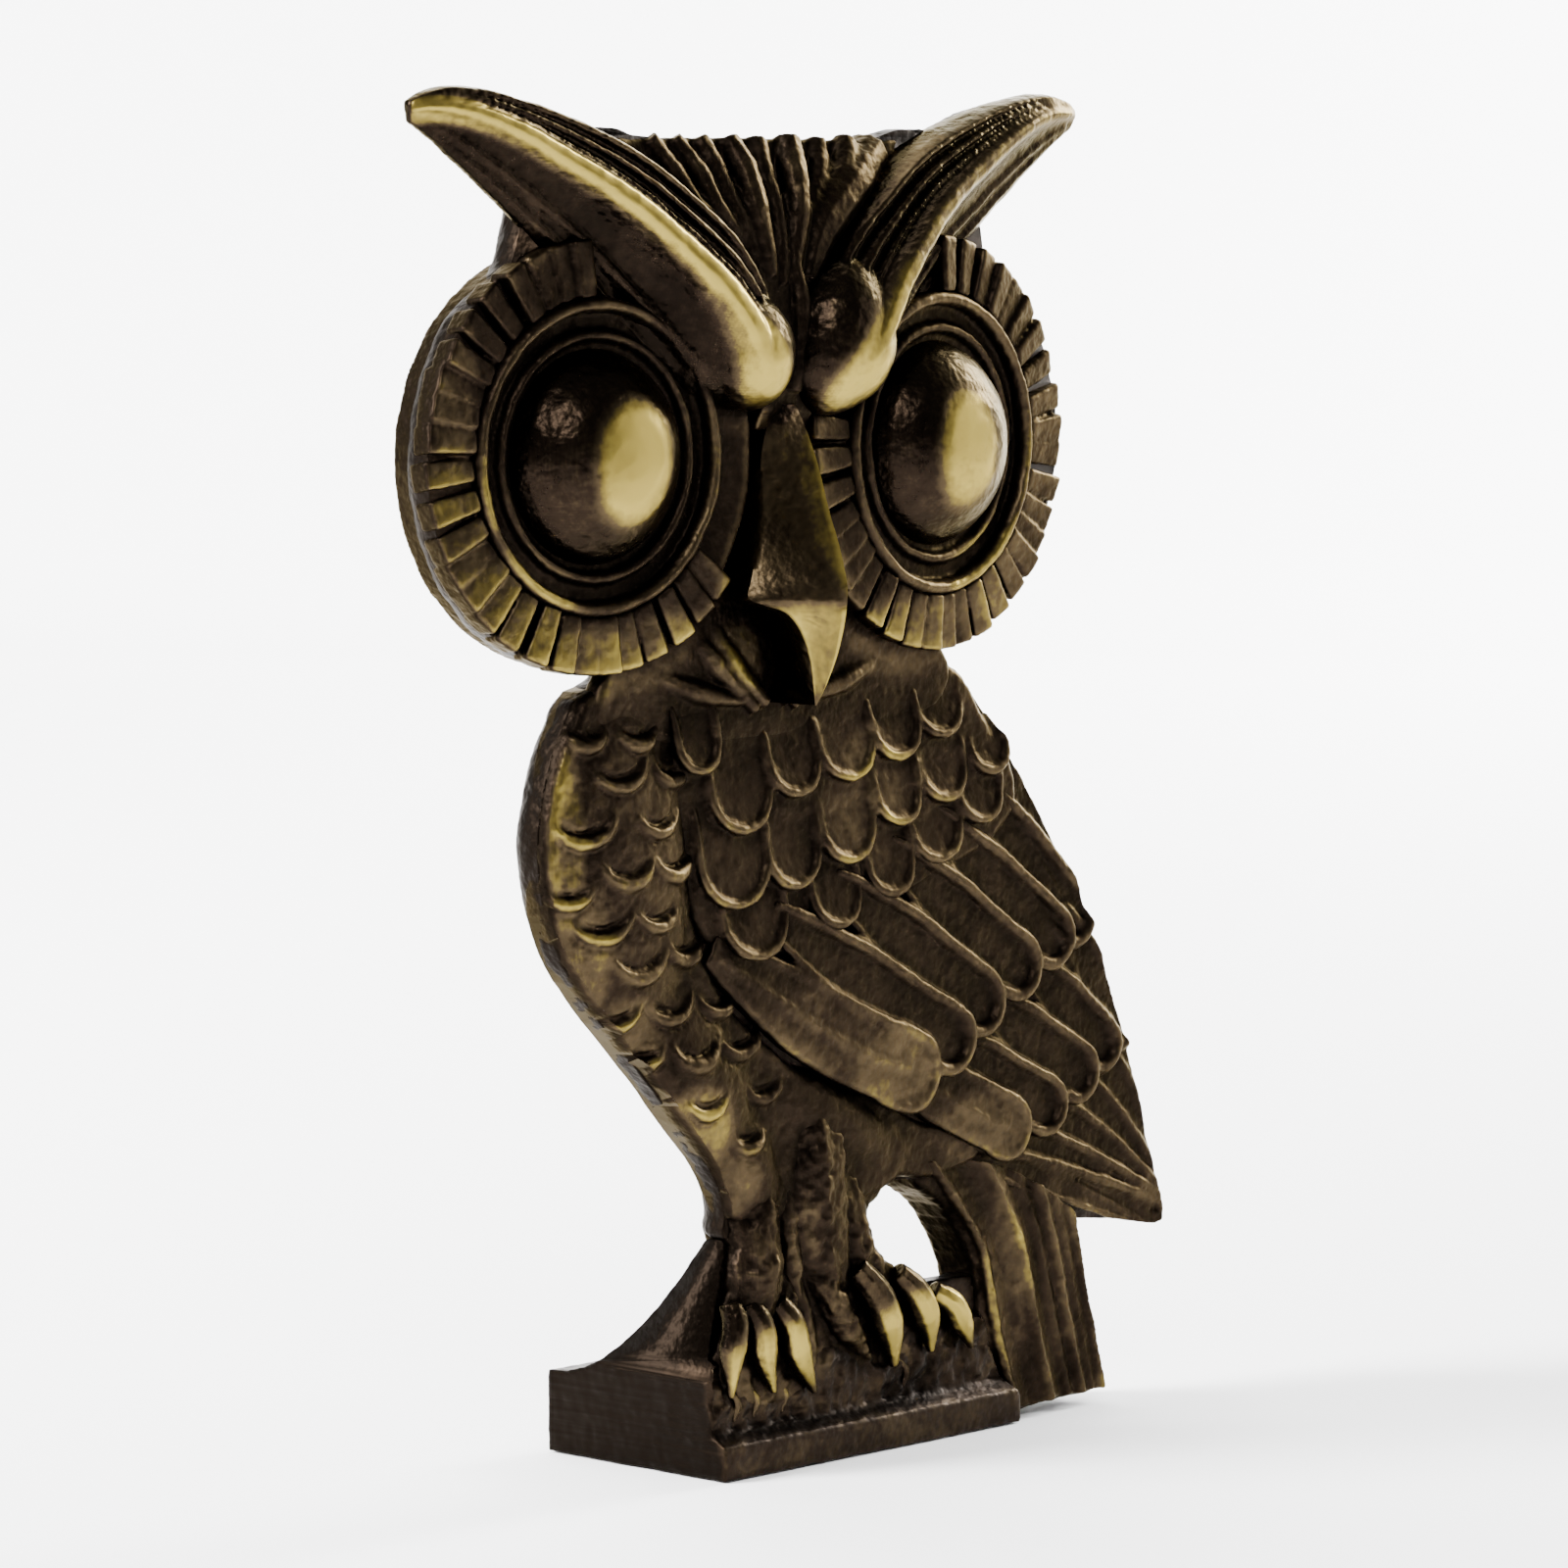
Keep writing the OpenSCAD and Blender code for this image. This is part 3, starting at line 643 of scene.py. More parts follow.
def feather(run, width, h_root, h_tip, rim=0.7, dish=0.6, lower_rim=1.0, hump=0.0, root=0.4):
    """A feather along the points of run: round end, soft raised rim, sunk or humped face."""
    run = eased(run, 3)
    steps = len(run) - 1
    points = [at(x, z, h_root + (h_tip - h_root) * i / steps) for i, (x, z) in enumerate(run)]
    half = width / 2
    lower, upper, frames = [], [], []
    for i, point in enumerate(points):
        before, after = points[max(i - 1, 0)], points[min(i + 1, steps)]
        along = (after - before).normalized()
        over = along.cross(Vector((0, -1, 0))).normalized()
        frames.append((along, over))
        if i < steps and (points[-1] - point).length > half * 1.15:
            wide = half * min(1.0, root + (1 - root) * 2.4 * i / steps)
            lower.append(point + over * wide)
            upper.append(point - over * wide)
    along, over = frames[-1]
    heart = points[-1] - along * half
    arc = []
    for turn in (90, 55, 20, -20, -55, -90):
        angle = math.radians(turn)
        arc.append(heart + (along * math.cos(angle) + over * math.sin(angle)) * half)
    edge = lower + arc + upper[::-1]
    sink = Vector((0, rim, 0))
    girth = []
    for i in range(len(edge)):
        share = rim * min(1.0, 0.35 + 0.5 * min(i, len(edge) - 1 - i))
        girth.append(share * lower_rim if i < len(lower) else share)
    parts = [rod([p + sink for p in edge], girth)]
    bpy.ops.mesh.primitive_circle_add(vertices=len(edge), radius=MM, fill_type="NGON")
    face = bpy.context.object
    for vertex, point in zip(face.data.vertices, edge):
        vertex.co = (point + Vector((0, dish, 0))) * MM
    bpy.ops.object.mode_set(mode="EDIT")
    bpy.ops.mesh.select_all(action="SELECT")
    bpy.ops.mesh.extrude_region_move(TRANSFORM_OT_translate={"value": (0, 3.4 * MM, 0)})
    bpy.ops.mesh.select_all(action="SELECT")
    bpy.ops.mesh.normals_make_consistent(inside=False)
    bpy.ops.object.mode_set(mode="OBJECT")
    parts.append(face)
    if hump:
        bulk = half * 0.86
        middle, girth = [], []
        for i in range(len(lower)):
            thick = bulk * min(1.0, root + (1 - root) * 2.4 * i / steps)
            middle.append(points[i] + Vector((0, thick - hump + dish, 0)) + frames[i][1] * 0.4)
            girth.append(thick)
        sunk = Vector((0, bulk - hump + dish, 0))
        parts.append(rod(middle + [heart + sunk, heart + sunk + along * half * 0.7],
                         girth + [bulk, bulk * 0.55]))
    return parts


# Lowest point and width of each crescent feather on the breast
BREAST_SCALES = [
    (-19.6, 35.6, 5), (-26.4, 40, 6), (-16.8, 40.6, 5.4), (-35.5, 46, 5), (-28, 45.4, 7),
    (-20.5, 45.8, 7), (-40.2, 50.4, 7.4), (-31.6, 50.6, 7), (-23.6, 50.6, 6.6), (-37, 55.6, 8),
    (-29, 56.8, 7), (-42.4, 60.2, 7.6), (-34.4, 60.8, 7), (-46.4, 64, 5), (-39, 65.8, 7),
    (-31.4, 66, 7), (-44.6, 70.4, 7.6), (-34, 70.8, 7), (-39.6, 76, 7.4), (-31, 76, 6.6),
    (-43.6, 80.4, 4.6), (-36.4, 80.2, 6)]


def surface_h(piece, x, z):
    """How far a piece stands in front of the plate at this spot."""
    hit, place, _, _ = piece.ray_cast(Vector((x, FACE_Y - 40, z)) * MM, Vector((0, 1, 0)))
    return FACE_Y - place.y / MM if hit else 0.0


def smile(piece, x, z, width, drop):
    """Points on a piece along the curved lower edge of a scale, or this far inside it."""
    reach = width / 2
    points = []
    for turn in (-162, -135, -112, -90, -68, -42, -12):
        angle = math.radians(turn)
        px = x + (reach - drop) * math.cos(angle)
        pz = z + reach + (reach - drop) * math.sin(angle)
        points.append(at(px, pz, surface_h(piece, px, pz)))
    return points


def breast():
    swell = [slab(BREAST, FACE_Y - 1.5, FACE_Y + 1.5, rounding=1.2),
             blob(-37.5, 66, -1.4, (23, 46, 9.6), lean=-4),
             blob(-27, 44, -1.4, (18, 34, 8.4), lean=-38),
             blob(-18, 33, -1.0, (10, 18, 7), lean=-20),
             blob(-5, 37, -1.4, (32, 10, 7.6), lean=24),
             slab([(-6, 40), (10, 35.4), (20, 32), (14, 29.2), (4, 30), (-6, 32)],
                  FACE_Y - 1.2, FACE_Y + 1.5, rounding=1.0)]
    piece = fuse("breast", swell, voxel=0.4, soften=3)
    lips, hollows = [], []
    for i, (x, z, width) in enumerate(BREAST_SCALES):
        width *= 1.14
        points = smile(piece, x, z, width, 0.0)
        size = 1.0 + 0.15 * math.sin(5.1 * i)
        lips.append(rod([p + Vector((0, 0.1, 0)) for p in points],
                        [size * r for r in (0.15, 0.55, 0.8, 0.9, 0.85, 0.6, 0.15)]))
        points = smile(piece, x, z, width, 0.95)
        hollows.append(rod([p + Vector((0, -0.1, 0)) for p in points],
                           [0.12, 0.4, 0.55, 0.62, 0.58, 0.42, 0.12]))
        points = smile(piece, x, z, width, -0.85)
        hollows.append(rod([p + Vector((0, -0.1, 0)) for p in points],
                           [0.1, 0.3, 0.42, 0.45, 0.42, 0.3, 0.1]))
    trim(piece, fuse("hollows", hollows, voxel=0.3, soften=0), "DIFFERENCE")
    piece = fuse("breast", [piece] + lips, voxel=0.27, soften=2)
    trim(piece, slab(BODY, FACE_Y - 12, FACE_Y + 3))
    finished(cast_skin(piece, 0.35, 0.16), ["breast", "breast_scales"], "relief_casting")


# Lowest point, width and length of each shoulder feather, from the lowest row upwards
COVERTS = [
    (-18.4, 56.4, 9.6, 9), (-5.6, 58.8, 7.4, 8), (3.2, 61.6, 7.2, 8), (-12.6, 63.6, 8, 10),
    (-21.8, 62.2, 10.4, 12), (11, 64.8, 8, 8), (-3.8, 65.8, 8.4, 9), (18.4, 68.6, 7, 8),
    (4.4, 69.4, 7, 8), (12.2, 71.4, 7.2, 7), (-20.6, 70.2, 9, 9), (-12.4, 73.6, 7.6, 8),
    (20, 74, 6, 6), (-4, 74.8, 8.6, 8), (4.2, 76.6, 7.4, 7), (11.6, 78.6, 7, 5),
    (-27.4, 77, 6, 8)]


def shoulder_coverts():
    zone = [(-28, 85.4), (-28.6, 66), (-24, 57.4), (-14, 56), (0, 59), (12, 63), (23, 67.6),
            (25, 71), (19, 80.6), (14, 86), (-6, 86)]
    parts = [slab(zone, FACE_Y - 1.6, FACE_Y + 1.5, rounding=0.9),
             blob(-8, 74, -1.2, (38, 30, 6.6), lean=8)]
    for x, z, width, length in COVERTS:
        edge = 0.5 * max(0.0, x) / 20
        parts += feather([(x - 0.8, z + length), (x - 0.2, z + length * 0.5), (x, z)], width,
                         1.9 - edge, 3.3 - edge, rim=0.56, dish=0.55, root=1.0)
    piece = fuse("shoulder_coverts", parts, voxel=0.28, soften=2)
    trim(piece, slab(BODY, FACE_Y - 12, FACE_Y + 3))
    finished(cast_skin(piece, 0.35, 0.14), ["shoulder_coverts"], "relief_casting")


# Long feathers: points from root to tip, width, height at the root and tip, and hump
SECONDARIES = [
    ([(20, 79.6), (26.5, 71.6), (33, 63.6), (39.4, 56)], 6.0, 1.3, 1.5, 0),
    ([(16, 74), (23, 67.4), (30, 60.8), (37.4, 54.4)], 6.2, 1.7, 1.9, 0),
    ([(10, 70), (18, 63.6), (26, 57.8), (33.4, 52.6)], 6.4, 2.1, 2.3, 0),
    ([(3, 66.6), (11, 60.8), (19, 55.2), (27.4, 49.8)], 6.6, 2.4, 2.7, 0),
    ([(-6, 63.5), (3, 57.6), (12, 51.8), (20.8, 46.4)], 6.8, 2.7, 3.0, 0),
    ([(-16, 60.6), (-5, 54.2), (5, 48.4), (15.6, 43)], 7.0, 2.9, 3.3, 0),
    ([(-25, 57.6), (-14, 51), (-3, 45.2), (9.8, 40.2)], 8.2, 2.2, 3.2, 0.3)]
PRIMARIES = [
    ([(34, 56), (38, 51), (42, 46), (45.6, 41.4)], 5.2, 1.0, 1.3, 0),
    ([(26, 53), (32, 48), (37.6, 43.4), (42.4, 39.6)], 5.6, 1.3, 1.7, 0),
    ([(18, 49), (25, 44.8), (32, 40.6), (38.2, 37)], 6.0, 1.5, 2.1, 0),
    ([(10, 45), (17.5, 41.4), (25, 37.6), (32.4, 34)], 6.0, 1.7, 2.4, 0),
    ([(0, 44), (9, 40), (17.5, 36), (26, 32.2)], 6.6, 1.8, 2.5, 0.25)]
TIPS = [
    ([(43, 45), (45.6, 40.4), (48, 35), (50.4, 28)], 3.4, 0.7, 0.7, 0),
    ([(39, 43), (42.6, 38), (46.4, 32.2), (50.8, 24)], 3.8, 0.9, 0.8, 0),
    ([(34, 40), (39, 35.2), (44.4, 30), (51.2, 22)], 4.0, 1.1, 0.9, 0),
    ([(28, 37), (34, 33.2), (41.6, 28.6), (51.4, 21)], 4.0, 1.3, 1.0, 0),
    ([(20, 34.4), (28, 31), (38, 27), (51.4, 20.4)], 4.0, 1.5, 1.1, 0),
    ([(14, 31.8), (24, 28.8), (36, 25.2), (51.4, 19.9)], 3.6, 1.4, 1.2, 0)]


def feather_group(name, group, bed_outline, rim, dish):
    parts = [slab(bed_outline, FACE_Y - 0.5, FACE_Y + 1.5)]
    for run, width, h_root, h_tip, hump in group:
        parts += feather(run, width, h_root, h_tip, rim, 0.3 if hump else dish, 0.5, hump)
    piece = fuse(name, parts, voxel=0.28, soften=2)
    trim(piece, slab(BODY, FACE_Y - 12, FACE_Y + 3))
    finished(cast_skin(piece, 0.35, 0.14), [name], "relief_casting")


def wing():
    feather_group("wing_secondaries", SECONDARIES,
                  [(-26, 60), (-20, 52), (-8, 43.6), (3, 39.6), (20, 44), (36, 53), (41, 52),
                   (32, 67), (22, 79), (14, 86), (0, 70)], 0.85, 0.95)
    feather_group("wing_primaries", PRIMARIES,
                  [(0, 43), (8, 36.6), (24, 30.6), (40, 37), (48, 40), (44, 48), (38, 58),
                   (20, 50)], 0.8, 0.85)
    feather_group("wing_tip", TIPS,
                  [(7, 36), (10, 30), (28, 26), (40, 22), (52, 19), (52, 24), (48, 40),
                   (40, 46), (24, 38)], 0.7, 0.75)


def tail():
    front = FACE_Y - tail_low.y
    rows = []
    pleats = [(0, -0.6), (0.04, 0.0), (0.1, -0.7), (0.22, -1.0), (0.34, -0.5), (0.4, 0.3),
              (0.46, -0.5), (0.54, -1.1), (0.62, -0.7), (0.68, -1.0), (0.74, -0.1), (0.8, -0.9),
              (0.86, -0.6), (0.93, -0.9), (0.97, -0.3), (1.0, -0.9)]
    left_edge = [(9.8, 31), (14.2, 26.4), (18.8, 20.6), (20.4, 15.6), (21.4, 11), (24.9, 1)]
    right_edge = [(34, 30), (35.4, 25), (37.2, 18), (38.6, 12), (40, 7.4), (41.6, 1.4)]
    for (xl, zl), (xr, zr) in zip(eased(left_edge, 4), eased(right_edge, 4)):
        row = []
        for share, lift in pleats:
            row.append(at(xl + (xr - xl) * share, zl + (zr - zl) * share, front - 0.4 + lift))
        rows.append(row)
    parts = [slab(TAIL, tail_low.y + 1.5, tail_high.y, rounding=1.2), sheet(rows, back=2)]
    piece = fuse("tail", parts, voxel=0.28, soften=1)
    trim(piece, slab(TAIL, FRONT_Y - 3, REAR_Y))
    finished(cast_skin(piece, 0.35, 0.2), ["tail", "tail_ridges"], "relief_casting")


# ---- Legs and base ----


def legs():
    left = [
        slab([(-19.2, 31), (-12.6, 31), (-11.6, 24), (-9.6, 18), (-7.4, 10), (-22.8, 10),
              (-21.8, 16), (-20.6, 22)], FACE_Y - 1.2, BACK_Y - 0.6, rounding=1.0),
        rod([at(-16.6, 34, -1.6), at(-16.8, 27, -0.4), at(-17.4, 21, 0.0), at(-18.0, 14, -0.2)],
            [2.4, 3.4, 3.8, 2.4]),
        rod([at(-13.8, 22, 0.2), at(-12.8, 18.4, 0.6), at(-11.8, 14, 0.4)], [1.0, 1.9, 1.2])]
    right = [
        slab([(-14, 37), (-6, 38), (4, 33), (3.4, 28.4), (1.6, 26.6), (1.3, 24), (2.8, 21.8),
              (5.4, 20), (9.2, 17.8), (14, 15.4), (18.6, 12), (-8, 11.5), (-10.4, 18),
              (-13, 25)], FACE_Y - 1.0, BACK_Y - 0.6, rounding=1.0),
        rod([at(-8, 42, -4.6), at(-7.6, 35, -2.6), at(-7.4, 28, -2.0), at(-6.0, 21, -2.0),
             at(-1.6, 13.6, -3.0)], [4.6, 5.6, 5.6, 5.0, 3.0]),
        rod([at(-2.6, 34, -1.6), at(-2.6, 27, -0.6), at(-0.6, 21.6, -0.2), at(4.6, 16.4, -0.4)],
            [2.0, 3.2, 3.0, 2.0]),
        rod([at(-13.2, 34, -0.4), at(-12.2, 27, 0.6), at(-11.9, 21, 0.8), at(-9.8, 15.6, 0.8),
             at(-7, 10.6, 0.0)], [0.9, 1.5, 1.5, 1.4, 0.7]),
        rod([at(-8.4, 20.6, 1.0), at(-6.0, 17.4, 1.5), at(-3.0, 13.8, 1.3), at(1.2, 9.8, 0.4)],
            [1.2, 1.9, 1.8, 0.7])]
    zone = [(-40, -10), (40, -10), (40, 60), (-40, 60)]
    for name, parts in (("left_leg", left), ("right_leg", right)):
        piece = fuse(name, parts, voxel=0.28, soften=1)
        trim(piece, slab(zone, FACE_Y - 12, BACK_Y - 0.7))
        apply_modifier(piece, "DISPLACE", texture=down, texture_coords="LOCAL",
                       strength=0.7 * MM, mid_level=0.55)
        finished(cast_skin(piece, 0.5, 0.2), [name], "relief_casting")


# Toes: root, thickest point and tip of each, and thickness
LEFT_TOES = [((-21.9, 19), (-22.2, 14), (-21.8, 8.6), 1.9),
             ((-19.2, 18.8), (-17.5, 13.4), (-15.0, 8.4), 2.1),
             ((-14.8, 18.4), (-12.2, 12.8), (-8.5, 7.6), 2.1)]
RIGHT_TOES = [((-2.2, 20.6), (2.4, 14), (4.4, 8.8), 2.5),
              ((4.6, 19.2), (8.8, 14), (10.6, 9.6), 2.2),
              ((10.8, 16.4), (14.6, 12.8), (17.4, 9.2), 1.9)]


def toes():
    for name, claws in (("left_toes", LEFT_TOES), ("right_toes", RIGHT_TOES)):
        parts = []
        for root, middle, tip, thick in claws:
            bend = ((root[0] + middle[0]) / 2 + 0.3, (root[1] + middle[1]) / 2 + 0.3)
            parts.append(rod([at(*root, 1.5), at(*bend, 2.2), at(*middle, 2.2), at(*tip, 1.5)],
                             [thick * 0.66, thick * 0.8, thick * 0.82, thick * 0.2]))
        for x in ((-21.6, -18.6, -14) if name == "left_toes" else (5.6,)):
            parts.append(rod([at(x, 9.6, 0.7), at(x + 1.4, 7.8, 0.9), at(x + 1, 5.8, 0.7)],
                             [0.25, 0.55, 0.2]))
        piece = fuse(name, parts, voxel=0.2, soften=2)
        finished(cast_skin(piece, 0.25, 0.08), [name], "rubbed_casting")


def base_block():
    lie = Matrix(((0, 0, 1, 0), (1, 0, 0, 0), (0, 1, 0, 0), (0, 0, 0, 1)))

    def length(top, x_from, x_to):
        sweep = []
        for i in range(9):
            share = i / 8
            y = BACK_Y - 2.2 + (REAR_Y - BACK_Y + 2.2) * share
            sweep.append((y, 9 + (top - 9) * (1 - share) ** 2.1))
        wall = FRONT_Y + 1.9
        front = FACE_Y + 0.2
        profile = [(FRONT_Y, 0), (FRONT_Y, 3.6), (wall, 4.8), (wall, 12.6), (front, 12.6),
                   (front, top)] + sweep + [(REAR_Y, 0)]
        place = Matrix.Translation(((x_from + x_to) / 2 * MM, 0, 0)) @ lie
        return cut_straight(profile, x_to - x_from, place)

    parts = [length(25.5, -BASE_HALF, 0.6), length(17, -2, BASE_HALF)]
    piece = fuse("base_block", parts, voxel=0.36, soften=1)
    bpy.ops.mesh.primitive_cube_add(size=1, location=(0, 0, 0))
    side = bpy.context.object
    side.scale = (10 * MM, 60 * MM, 40 * MM)
    settle(side)
    side.matrix_world = (Matrix.Translation((-BASE_HALF * MM, 0, 10.6 * MM))
                         @ Matrix.Rotation(math.radians(12), 4, "Y")
                         @ Matrix.Translation((-5 * MM, 0, 20 * MM)))
    settle(side)
    trim(piece, side, "DIFFERENCE")
    trim(piece, slab(TAIL, FRONT_Y - 3, REAR_Y + 3), "DIFFERENCE")
    wall = piece.vertex_groups.new(name="wall")
    wall.add([v.index for v in piece.data.vertices
              if v.co.y < (FRONT_Y + 2.4) * MM and v.co.z > 4.9 * MM], 1.0, "REPLACE")
    apply_modifier(piece, "DISPLACE", texture=down, texture_coords="LOCAL", vertex_group="wall",
                   strength=1.1 * MM, mid_level=0.6)
    finished(cast_skin(piece, 0.25, 0.1), ["base_block"], "plain_casting")


body_plate()
head_plate()
for eye_side, word in ((LEFT, "left"), (RIGHT, "right")):
    face_disc(eye_side, word + "_face_disc")
    eye_rings(eye_side, word + "_eye_rings")
    eyeball(eye_side, word + "_eyeball")
    brow(eye_side, word + "_brow")
crown_ribs()
beak()
chin_ruff()
breast()
shoulder_coverts()
wing()
tail()
legs()
toes()
base_block()

# ---- Wear and painted shade: how proud each spot of the relief stands, and where hands rub it ----

CELL = 0.3
REACH = 6.0


def height_map(low, high):
    """The relief's height over the plate in every cell of a grid, and where there is any."""
    shape = [int((high[i] - low[i]) / CELL) + 1 for i in (0, 1)]
    heights = np.full(shape, -np.inf)
    for piece, _ in made:
        spots = points_of(piece)
        cells = cells_of(spots, low)
        np.maximum.at(heights, (cells[:, 0], cells[:, 1]), FACE_Y - spots[:, 1])
    for _ in range(2):
        padded = np.pad(heights, 1, constant_values=-np.inf)
        around = [padded[1 + i:shape[0] + 1 + i, 1 + j:shape[1] + 1 + j]
                  for i in (-1, 0, 1) for j in (-1, 0, 1)]
        heights = np.where(np.isfinite(heights), heights, np.max(around, axis=0))
    known = np.isfinite(heights)
    return np.where(known, heights, 0.0), known.astype(float)


def points_of(piece):
    """A piece's corner points in millimetres."""
    flat = np.empty(len(piece.data.vertices) * 3, dtype=np.float32)
    piece.data.vertices.foreach_get("co", flat)
    return flat.reshape(-1, 3).astype(float) / MM


def cells_of(spots, low):
    return ((spots[:, (0, 2)] - low) / CELL).astype(int)


def blurred(values, spread):
    """The values averaged over a round neighbourhood of this spread in millimetres."""
    reach = int(3 * spread / CELL)
    offsets = np.arange(-reach, reach + 1) * CELL
    weights = np.exp(-0.5 * (offsets / spread) ** 2)
    weights /= weights.sum()
    for axis in (0, 1):
        values = np.apply_along_axis(np.convolve, axis, values, weights, "same")
    return values


def rub_of(spots):
    """How much hands have rubbed each spot."""
    rub = np.zeros(len(spots))
    for x, z, radius_x, radius_z, amount in RUBBED:
        away = ((spots[:, 0] - x) / radius_x) ** 2 + ((spots[:, 2] - z) / radius_z) ** 2
        share = np.clip((1.8 - away) / 1.4, 0, 1)
        rub = np.maximum(rub, amount * share ** 2 * (3 - 2 * share))
    return rub


# Rubbed zones: X, Z, half width, half height and amount
RUBBED = [
    (FACE_X - EYE_REACH + 0.4, EYE_Z - 0.6, 4.9, 6.2, 1.0),
    (FACE_X + EYE_REACH - 0.6, EYE_Z - 0.4, 4.4, 6.0, 0.9),
    (-62, 118, 3, 8, 0.55), (-62, 104, 5, 9, 0.75), (-55, 95, 8, 6, 0.85), (-45, 89, 9, 4, 0.9),
    (-35, 90, 8, 4, 0.55), (6, 90, 9, 4.5, 0.7), (20, 95, 8, 8, 0.6), (30, 108, 5, 9, 0.3),
    (FACE_X - 1, 89.4, 8, 4.4, 1.0), (FACE_X + 1.6, 104, 2.4, 9, 0.75),
    (-47.6, 70, 3.0, 13, 0.9), (-45, 57, 4, 8, 0.75), (-38, 48, 5, 6, 0.7),
    (-27, 38, 5, 5, 0.85), (-21, 32, 3, 4, 0.6),
    (-38, 66, 9, 18, 0.3), (-20, 66, 7, 10, 0.2), (-1, 72, 6, 8, 0.5), (12, 70, 8, 7, 0.25),
    (-8, 47.4, 9, 5, 0.3), (4, 42.4, 7, 4.4, 0.65), (20, 34, 8, 4, 0.55),
    (24, 16, 4, 12, 0.5), (33, 16, 3, 10, 0.3), (44, 24, 6, 4, 0.25),
    (-15, 12, 9, 4, 0.7), (8, 13, 9, 4, 0.75), (-11, 24, 2, 6, 0.4)]


for x, z, h, above, below in eased(CREST, 10):
    bulb = max(0.0, (133 - z) / 16.4)
    RUBBED.append((FACE_X - x, z - 0.4, 1.4 + 2.0 * bulb, 1.4 + 2.0 * bulb, 0.8))
    RUBBED.append((FACE_X + x, z, 1.2 + 2.4 * bulb, 1.2 + 2.4 * bulb, 0.25 + 0.6 * bulb))


def facing(piece):
    """How squarely each spot of a piece faces the front, from 0 to 1."""
    flat = np.empty(len(piece.data.vertices) * 3, dtype=np.float32)
    piece.data.vertices.foreach_get("normal", flat)
    return np.clip(1.8 * (-flat.reshape(-1, 3)[:, 1] - 0.2), 0, 1)


def mark_wear_and_shade():
    """Writes onto every piece how proud it stands, fine and broad, for the wear on high spots and the
    patina and painted shade in recesses, and the rubbing of hands.
    """
    low = np.array((cad_box[0].x, cad_box[0].z)) / MM - REACH
    high = np.array((cad_box[1].x, cad_box[1].z)) / MM + REACH
    heights, known = height_map(low, high)
    edge = 0.15
    means = {}
    for name, spread, limit in (("fine", 0.9, 0.6), ("broad", 2.8, 1.5)):
        total = blurred(heights * known - 2.0 * edge * (1 - known), spread)
        means[name] = total / blurred(known + edge * (1 - known), spread), limit
    for piece, _ in made:
        spots = points_of(piece)
        cells = cells_of(spots, low)
        proud = FACE_Y - spots[:, 1]
        for name, (mean, limit) in means.items():
            layer = piece.data.attributes.new(name, "FLOAT", "POINT")
            # Sunk spots may go twice as far below the mean as proud spots go above it: this deepens the
            # dark of recesses as painted shade, on top of their patina.
            over = np.clip(proud - mean[cells[:, 0], cells[:, 1]], -2 * limit, limit)
            layer.data.foreach_set("value", over.astype(np.float32))
        layer = piece.data.attributes.new("rub", "FLOAT", "POINT")
        rub = rub_of(spots) * facing(piece)
        layer.data.foreach_set("value", rub.astype(np.float32))
        layer = piece.data.attributes.new("filed", "FLOAT", "POINT")
        end_face = np.clip(2 * (np.abs(spots[:, 0]) - BASE_HALF + 0.9), 0, 1)
        filed = end_face * (spots[:, 2] < 11.4) * ("base" in piece.name)
        layer.data.foreach_set("value", filed.astype(np.float32))


mark_wear_and_shade()

# ---- Finishes ----


def tint(code):
    """A colour written as sRGB hex, as the linear values a shader takes."""
    values = []
    for i in (1, 3, 5):
        share = int(code[i:i + 2], 16) / 255
        values.append(share / 12.92 if share <= 0.04045 else ((share + 0.055) / 1.055) ** 2.4)
    return (*values, 1)


def add(tree, kind, settings, inputs):
    """Adds a node, sets it, and feeds its inputs from values or from other nodes' outputs."""
    node = tree.nodes.new("ShaderNode" + kind)
    for key, value in settings.items():
        setattr(node, key, value)
    for key, value in inputs.items():
        if isinstance(value, bpy.types.NodeSocket):
            tree.links.new(value, node.inputs[key])
        else:
            node.inputs[key].default_value = value
    return node


def stops(node, colours):
    """Gives a colour ramp its stops."""
    ramp = node.color_ramp
    while len(ramp.elements) < len(colours):
        ramp.elements.new(0.5)
    for element, (place, colour) in zip(ramp.elements, colours):
        element.position = place
        element.color = colour
    return node.outputs["Color"]


def grey(value):
    return (value, value, value, 1)


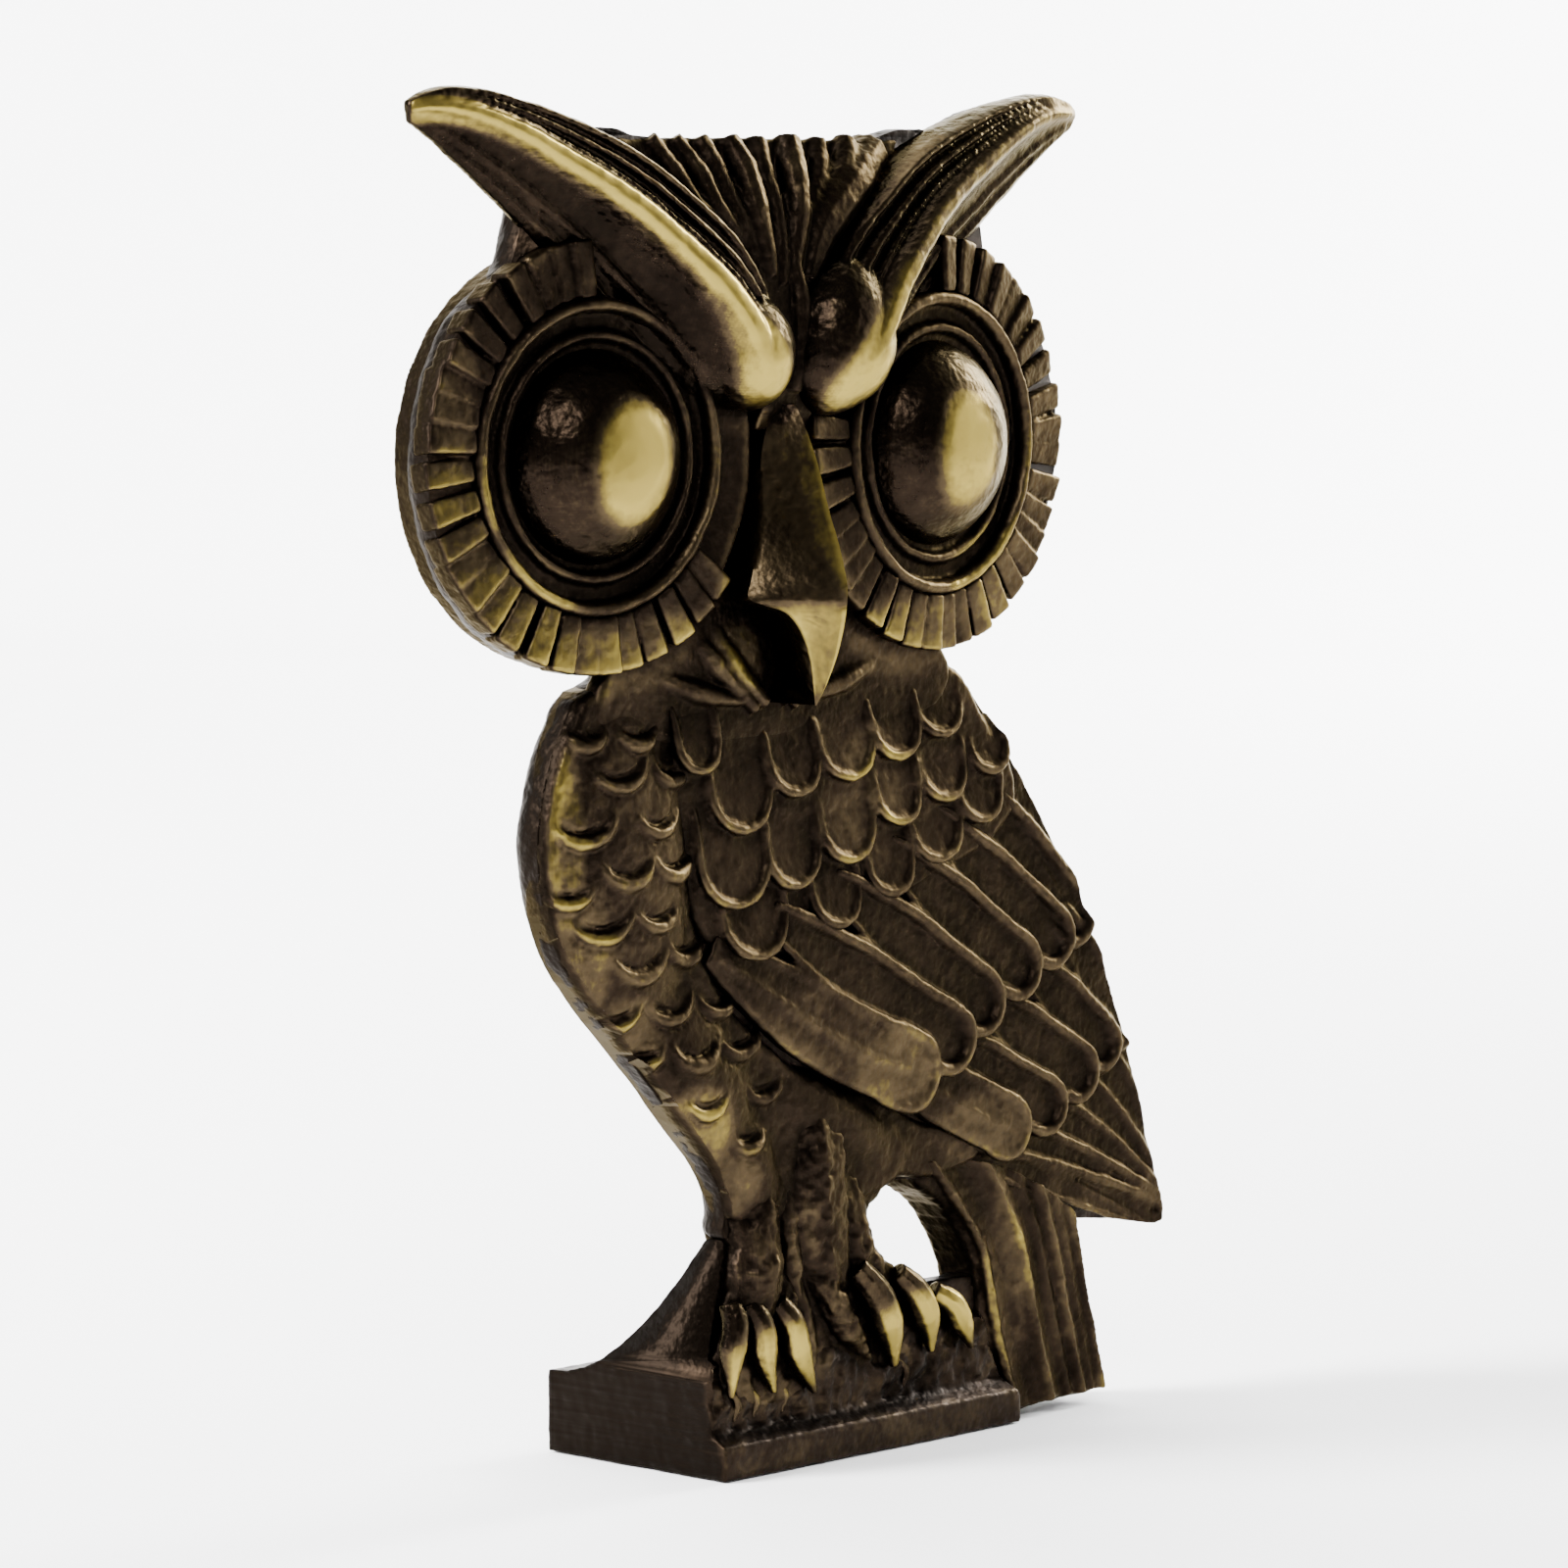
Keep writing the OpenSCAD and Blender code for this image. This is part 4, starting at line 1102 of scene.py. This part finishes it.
def patina_and_shade(name, start, gain_fine, gain_broad, gain_rub, dull, edge_tint):
    """Cast brass with a dark patina that wear has taken off the high spots, darkened further by painted
    shade in its recesses.
    """
    material = bpy.data.materials.new(name)
    material.use_nodes = True
    tree = material.node_tree
    shader = tree.nodes["Principled BSDF"]
    spot = add(tree, "TexCoord", {}, {}).outputs["Object"]
    fine = add(tree, "Attribute", {"attribute_name": "fine"}, {}).outputs["Fac"]
    broad = add(tree, "Attribute", {"attribute_name": "broad"}, {}).outputs["Fac"]
    rub = add(tree, "Attribute", {"attribute_name": "rub"}, {}).outputs["Fac"]
    filed = add(tree, "Attribute", {"attribute_name": "filed"}, {}).outputs["Fac"]
    blotch = add(tree, "TexNoise", {}, {"Vector": spot, "Scale": 200.0, "Detail": 3.0,
                                        "Roughness": 0.6}).outputs["Fac"]
    speck = add(tree, "TexNoise", {}, {"Vector": spot, "Scale": 1100.0, "Detail": 1.0,
                                       "Roughness": 0.5}).outputs["Fac"]
    wear_and_shade = add(tree, "Math", {"operation": "MULTIPLY_ADD"},
               {0: fine, 1: gain_fine, 2: start}).outputs[0]
    wear_and_shade = add(tree, "Math", {"operation": "MULTIPLY_ADD"},
               {0: broad, 1: gain_broad, 2: wear_and_shade}).outputs[0]
    wear_and_shade = add(tree, "Math", {"operation": "MULTIPLY_ADD"},
               {0: rub, 1: gain_rub, 2: wear_and_shade}).outputs[0]
    wear_and_shade = add(tree, "Math", {"operation": "MULTIPLY_ADD"},
               {0: blotch, 1: 0.4, 2: wear_and_shade}).outputs[0]
    wear_and_shade = add(tree, "Math", {"operation": "MULTIPLY_ADD", "use_clamp": True},
               {0: speck, 1: 0.25, 2: wear_and_shade}).outputs[0]
    # The colour runs from near black, where recesses carry patina and painted shade, to worn gold on the
    # high spots.
    colour = stops(add(tree, "ValToRGB", {}, {"Fac": wear_and_shade}), [
        (0.0, tint("#0e0a07")), (0.25, tint("#1e1711")), (0.5, tint("#3b3122")),
        (0.7, tint("#67592b")), (0.9, tint("#887739"))])
    gloss = stops(add(tree, "ValToRGB", {}, {"Fac": wear_and_shade}), [
        (0.0, grey(dull)), (0.5, grey((dull + 0.36) / 2)), (0.8, grey(0.36))])
    sand = add(tree, "TexNoise", {}, {"Vector": spot, "Scale": 900.0, "Detail": 1.5,
                                      "Roughness": 0.6}).outputs["Fac"]
    strokes = add(tree, "Mapping", {"vector_type": "POINT"},
                  {"Vector": spot, "Scale": (50, 50, 1500)}).outputs["Vector"]
    lines = add(tree, "TexNoise", {}, {"Vector": strokes, "Scale": 1.0, "Detail": 0.5}).outputs["Fac"]
    height = add(tree, "Mix", {}, {"Factor": filed, "A": sand, "B": lines}).outputs[0]
    depth = stops(add(tree, "ValToRGB", {}, {"Fac": wear_and_shade}), [
        (0.0, grey(0.9)), (0.5, grey(0.5)), (0.85, grey(0.1))])
    bump = add(tree, "Bump", {}, {"Strength": depth, "Distance": 0.2 * MM, "Height": height})
    tree.links.new(colour, shader.inputs["Base Color"])
    tree.links.new(gloss, shader.inputs["Roughness"])
    shader.inputs["Metallic"].default_value = 1.0
    shader.inputs["Specular Tint"].default_value = tint(edge_tint)
    tree.links.new(bump.outputs["Normal"], shader.inputs["Normal"])
    return material


# The side walls, back and base: nearly black and smooth, brown only where it is handled
plain_brass = patina_and_shade("charcoal_patina_brass", -0.26, 0.3, 0.02, 0.25, 0.4, "#d8d6d4")
# The feathers: black-brown hollows of patina and painted shade, grey-brown ridges and gold where they are
# rubbed
relief_brass = patina_and_shade("antique_patina_brass", -0.2, 0.42, 0.1, 0.5, 0.42, "#dcd4c6")
# Brows, beak, eyes and toes: the same patina worn through to bright gold
rubbed_brass = patina_and_shade("hand_rubbed_brass", -0.17, 0.3, 0.06, 0.8, 0.26, "#dcd6c8")

FINISHES = {"plain_casting": plain_brass, "relief_casting": relief_brass,
            "rubbed_casting": rubbed_brass}
for piece, slot in made:
    piece.data.materials.clear()
    piece.data.materials.append(FINISHES[slot])
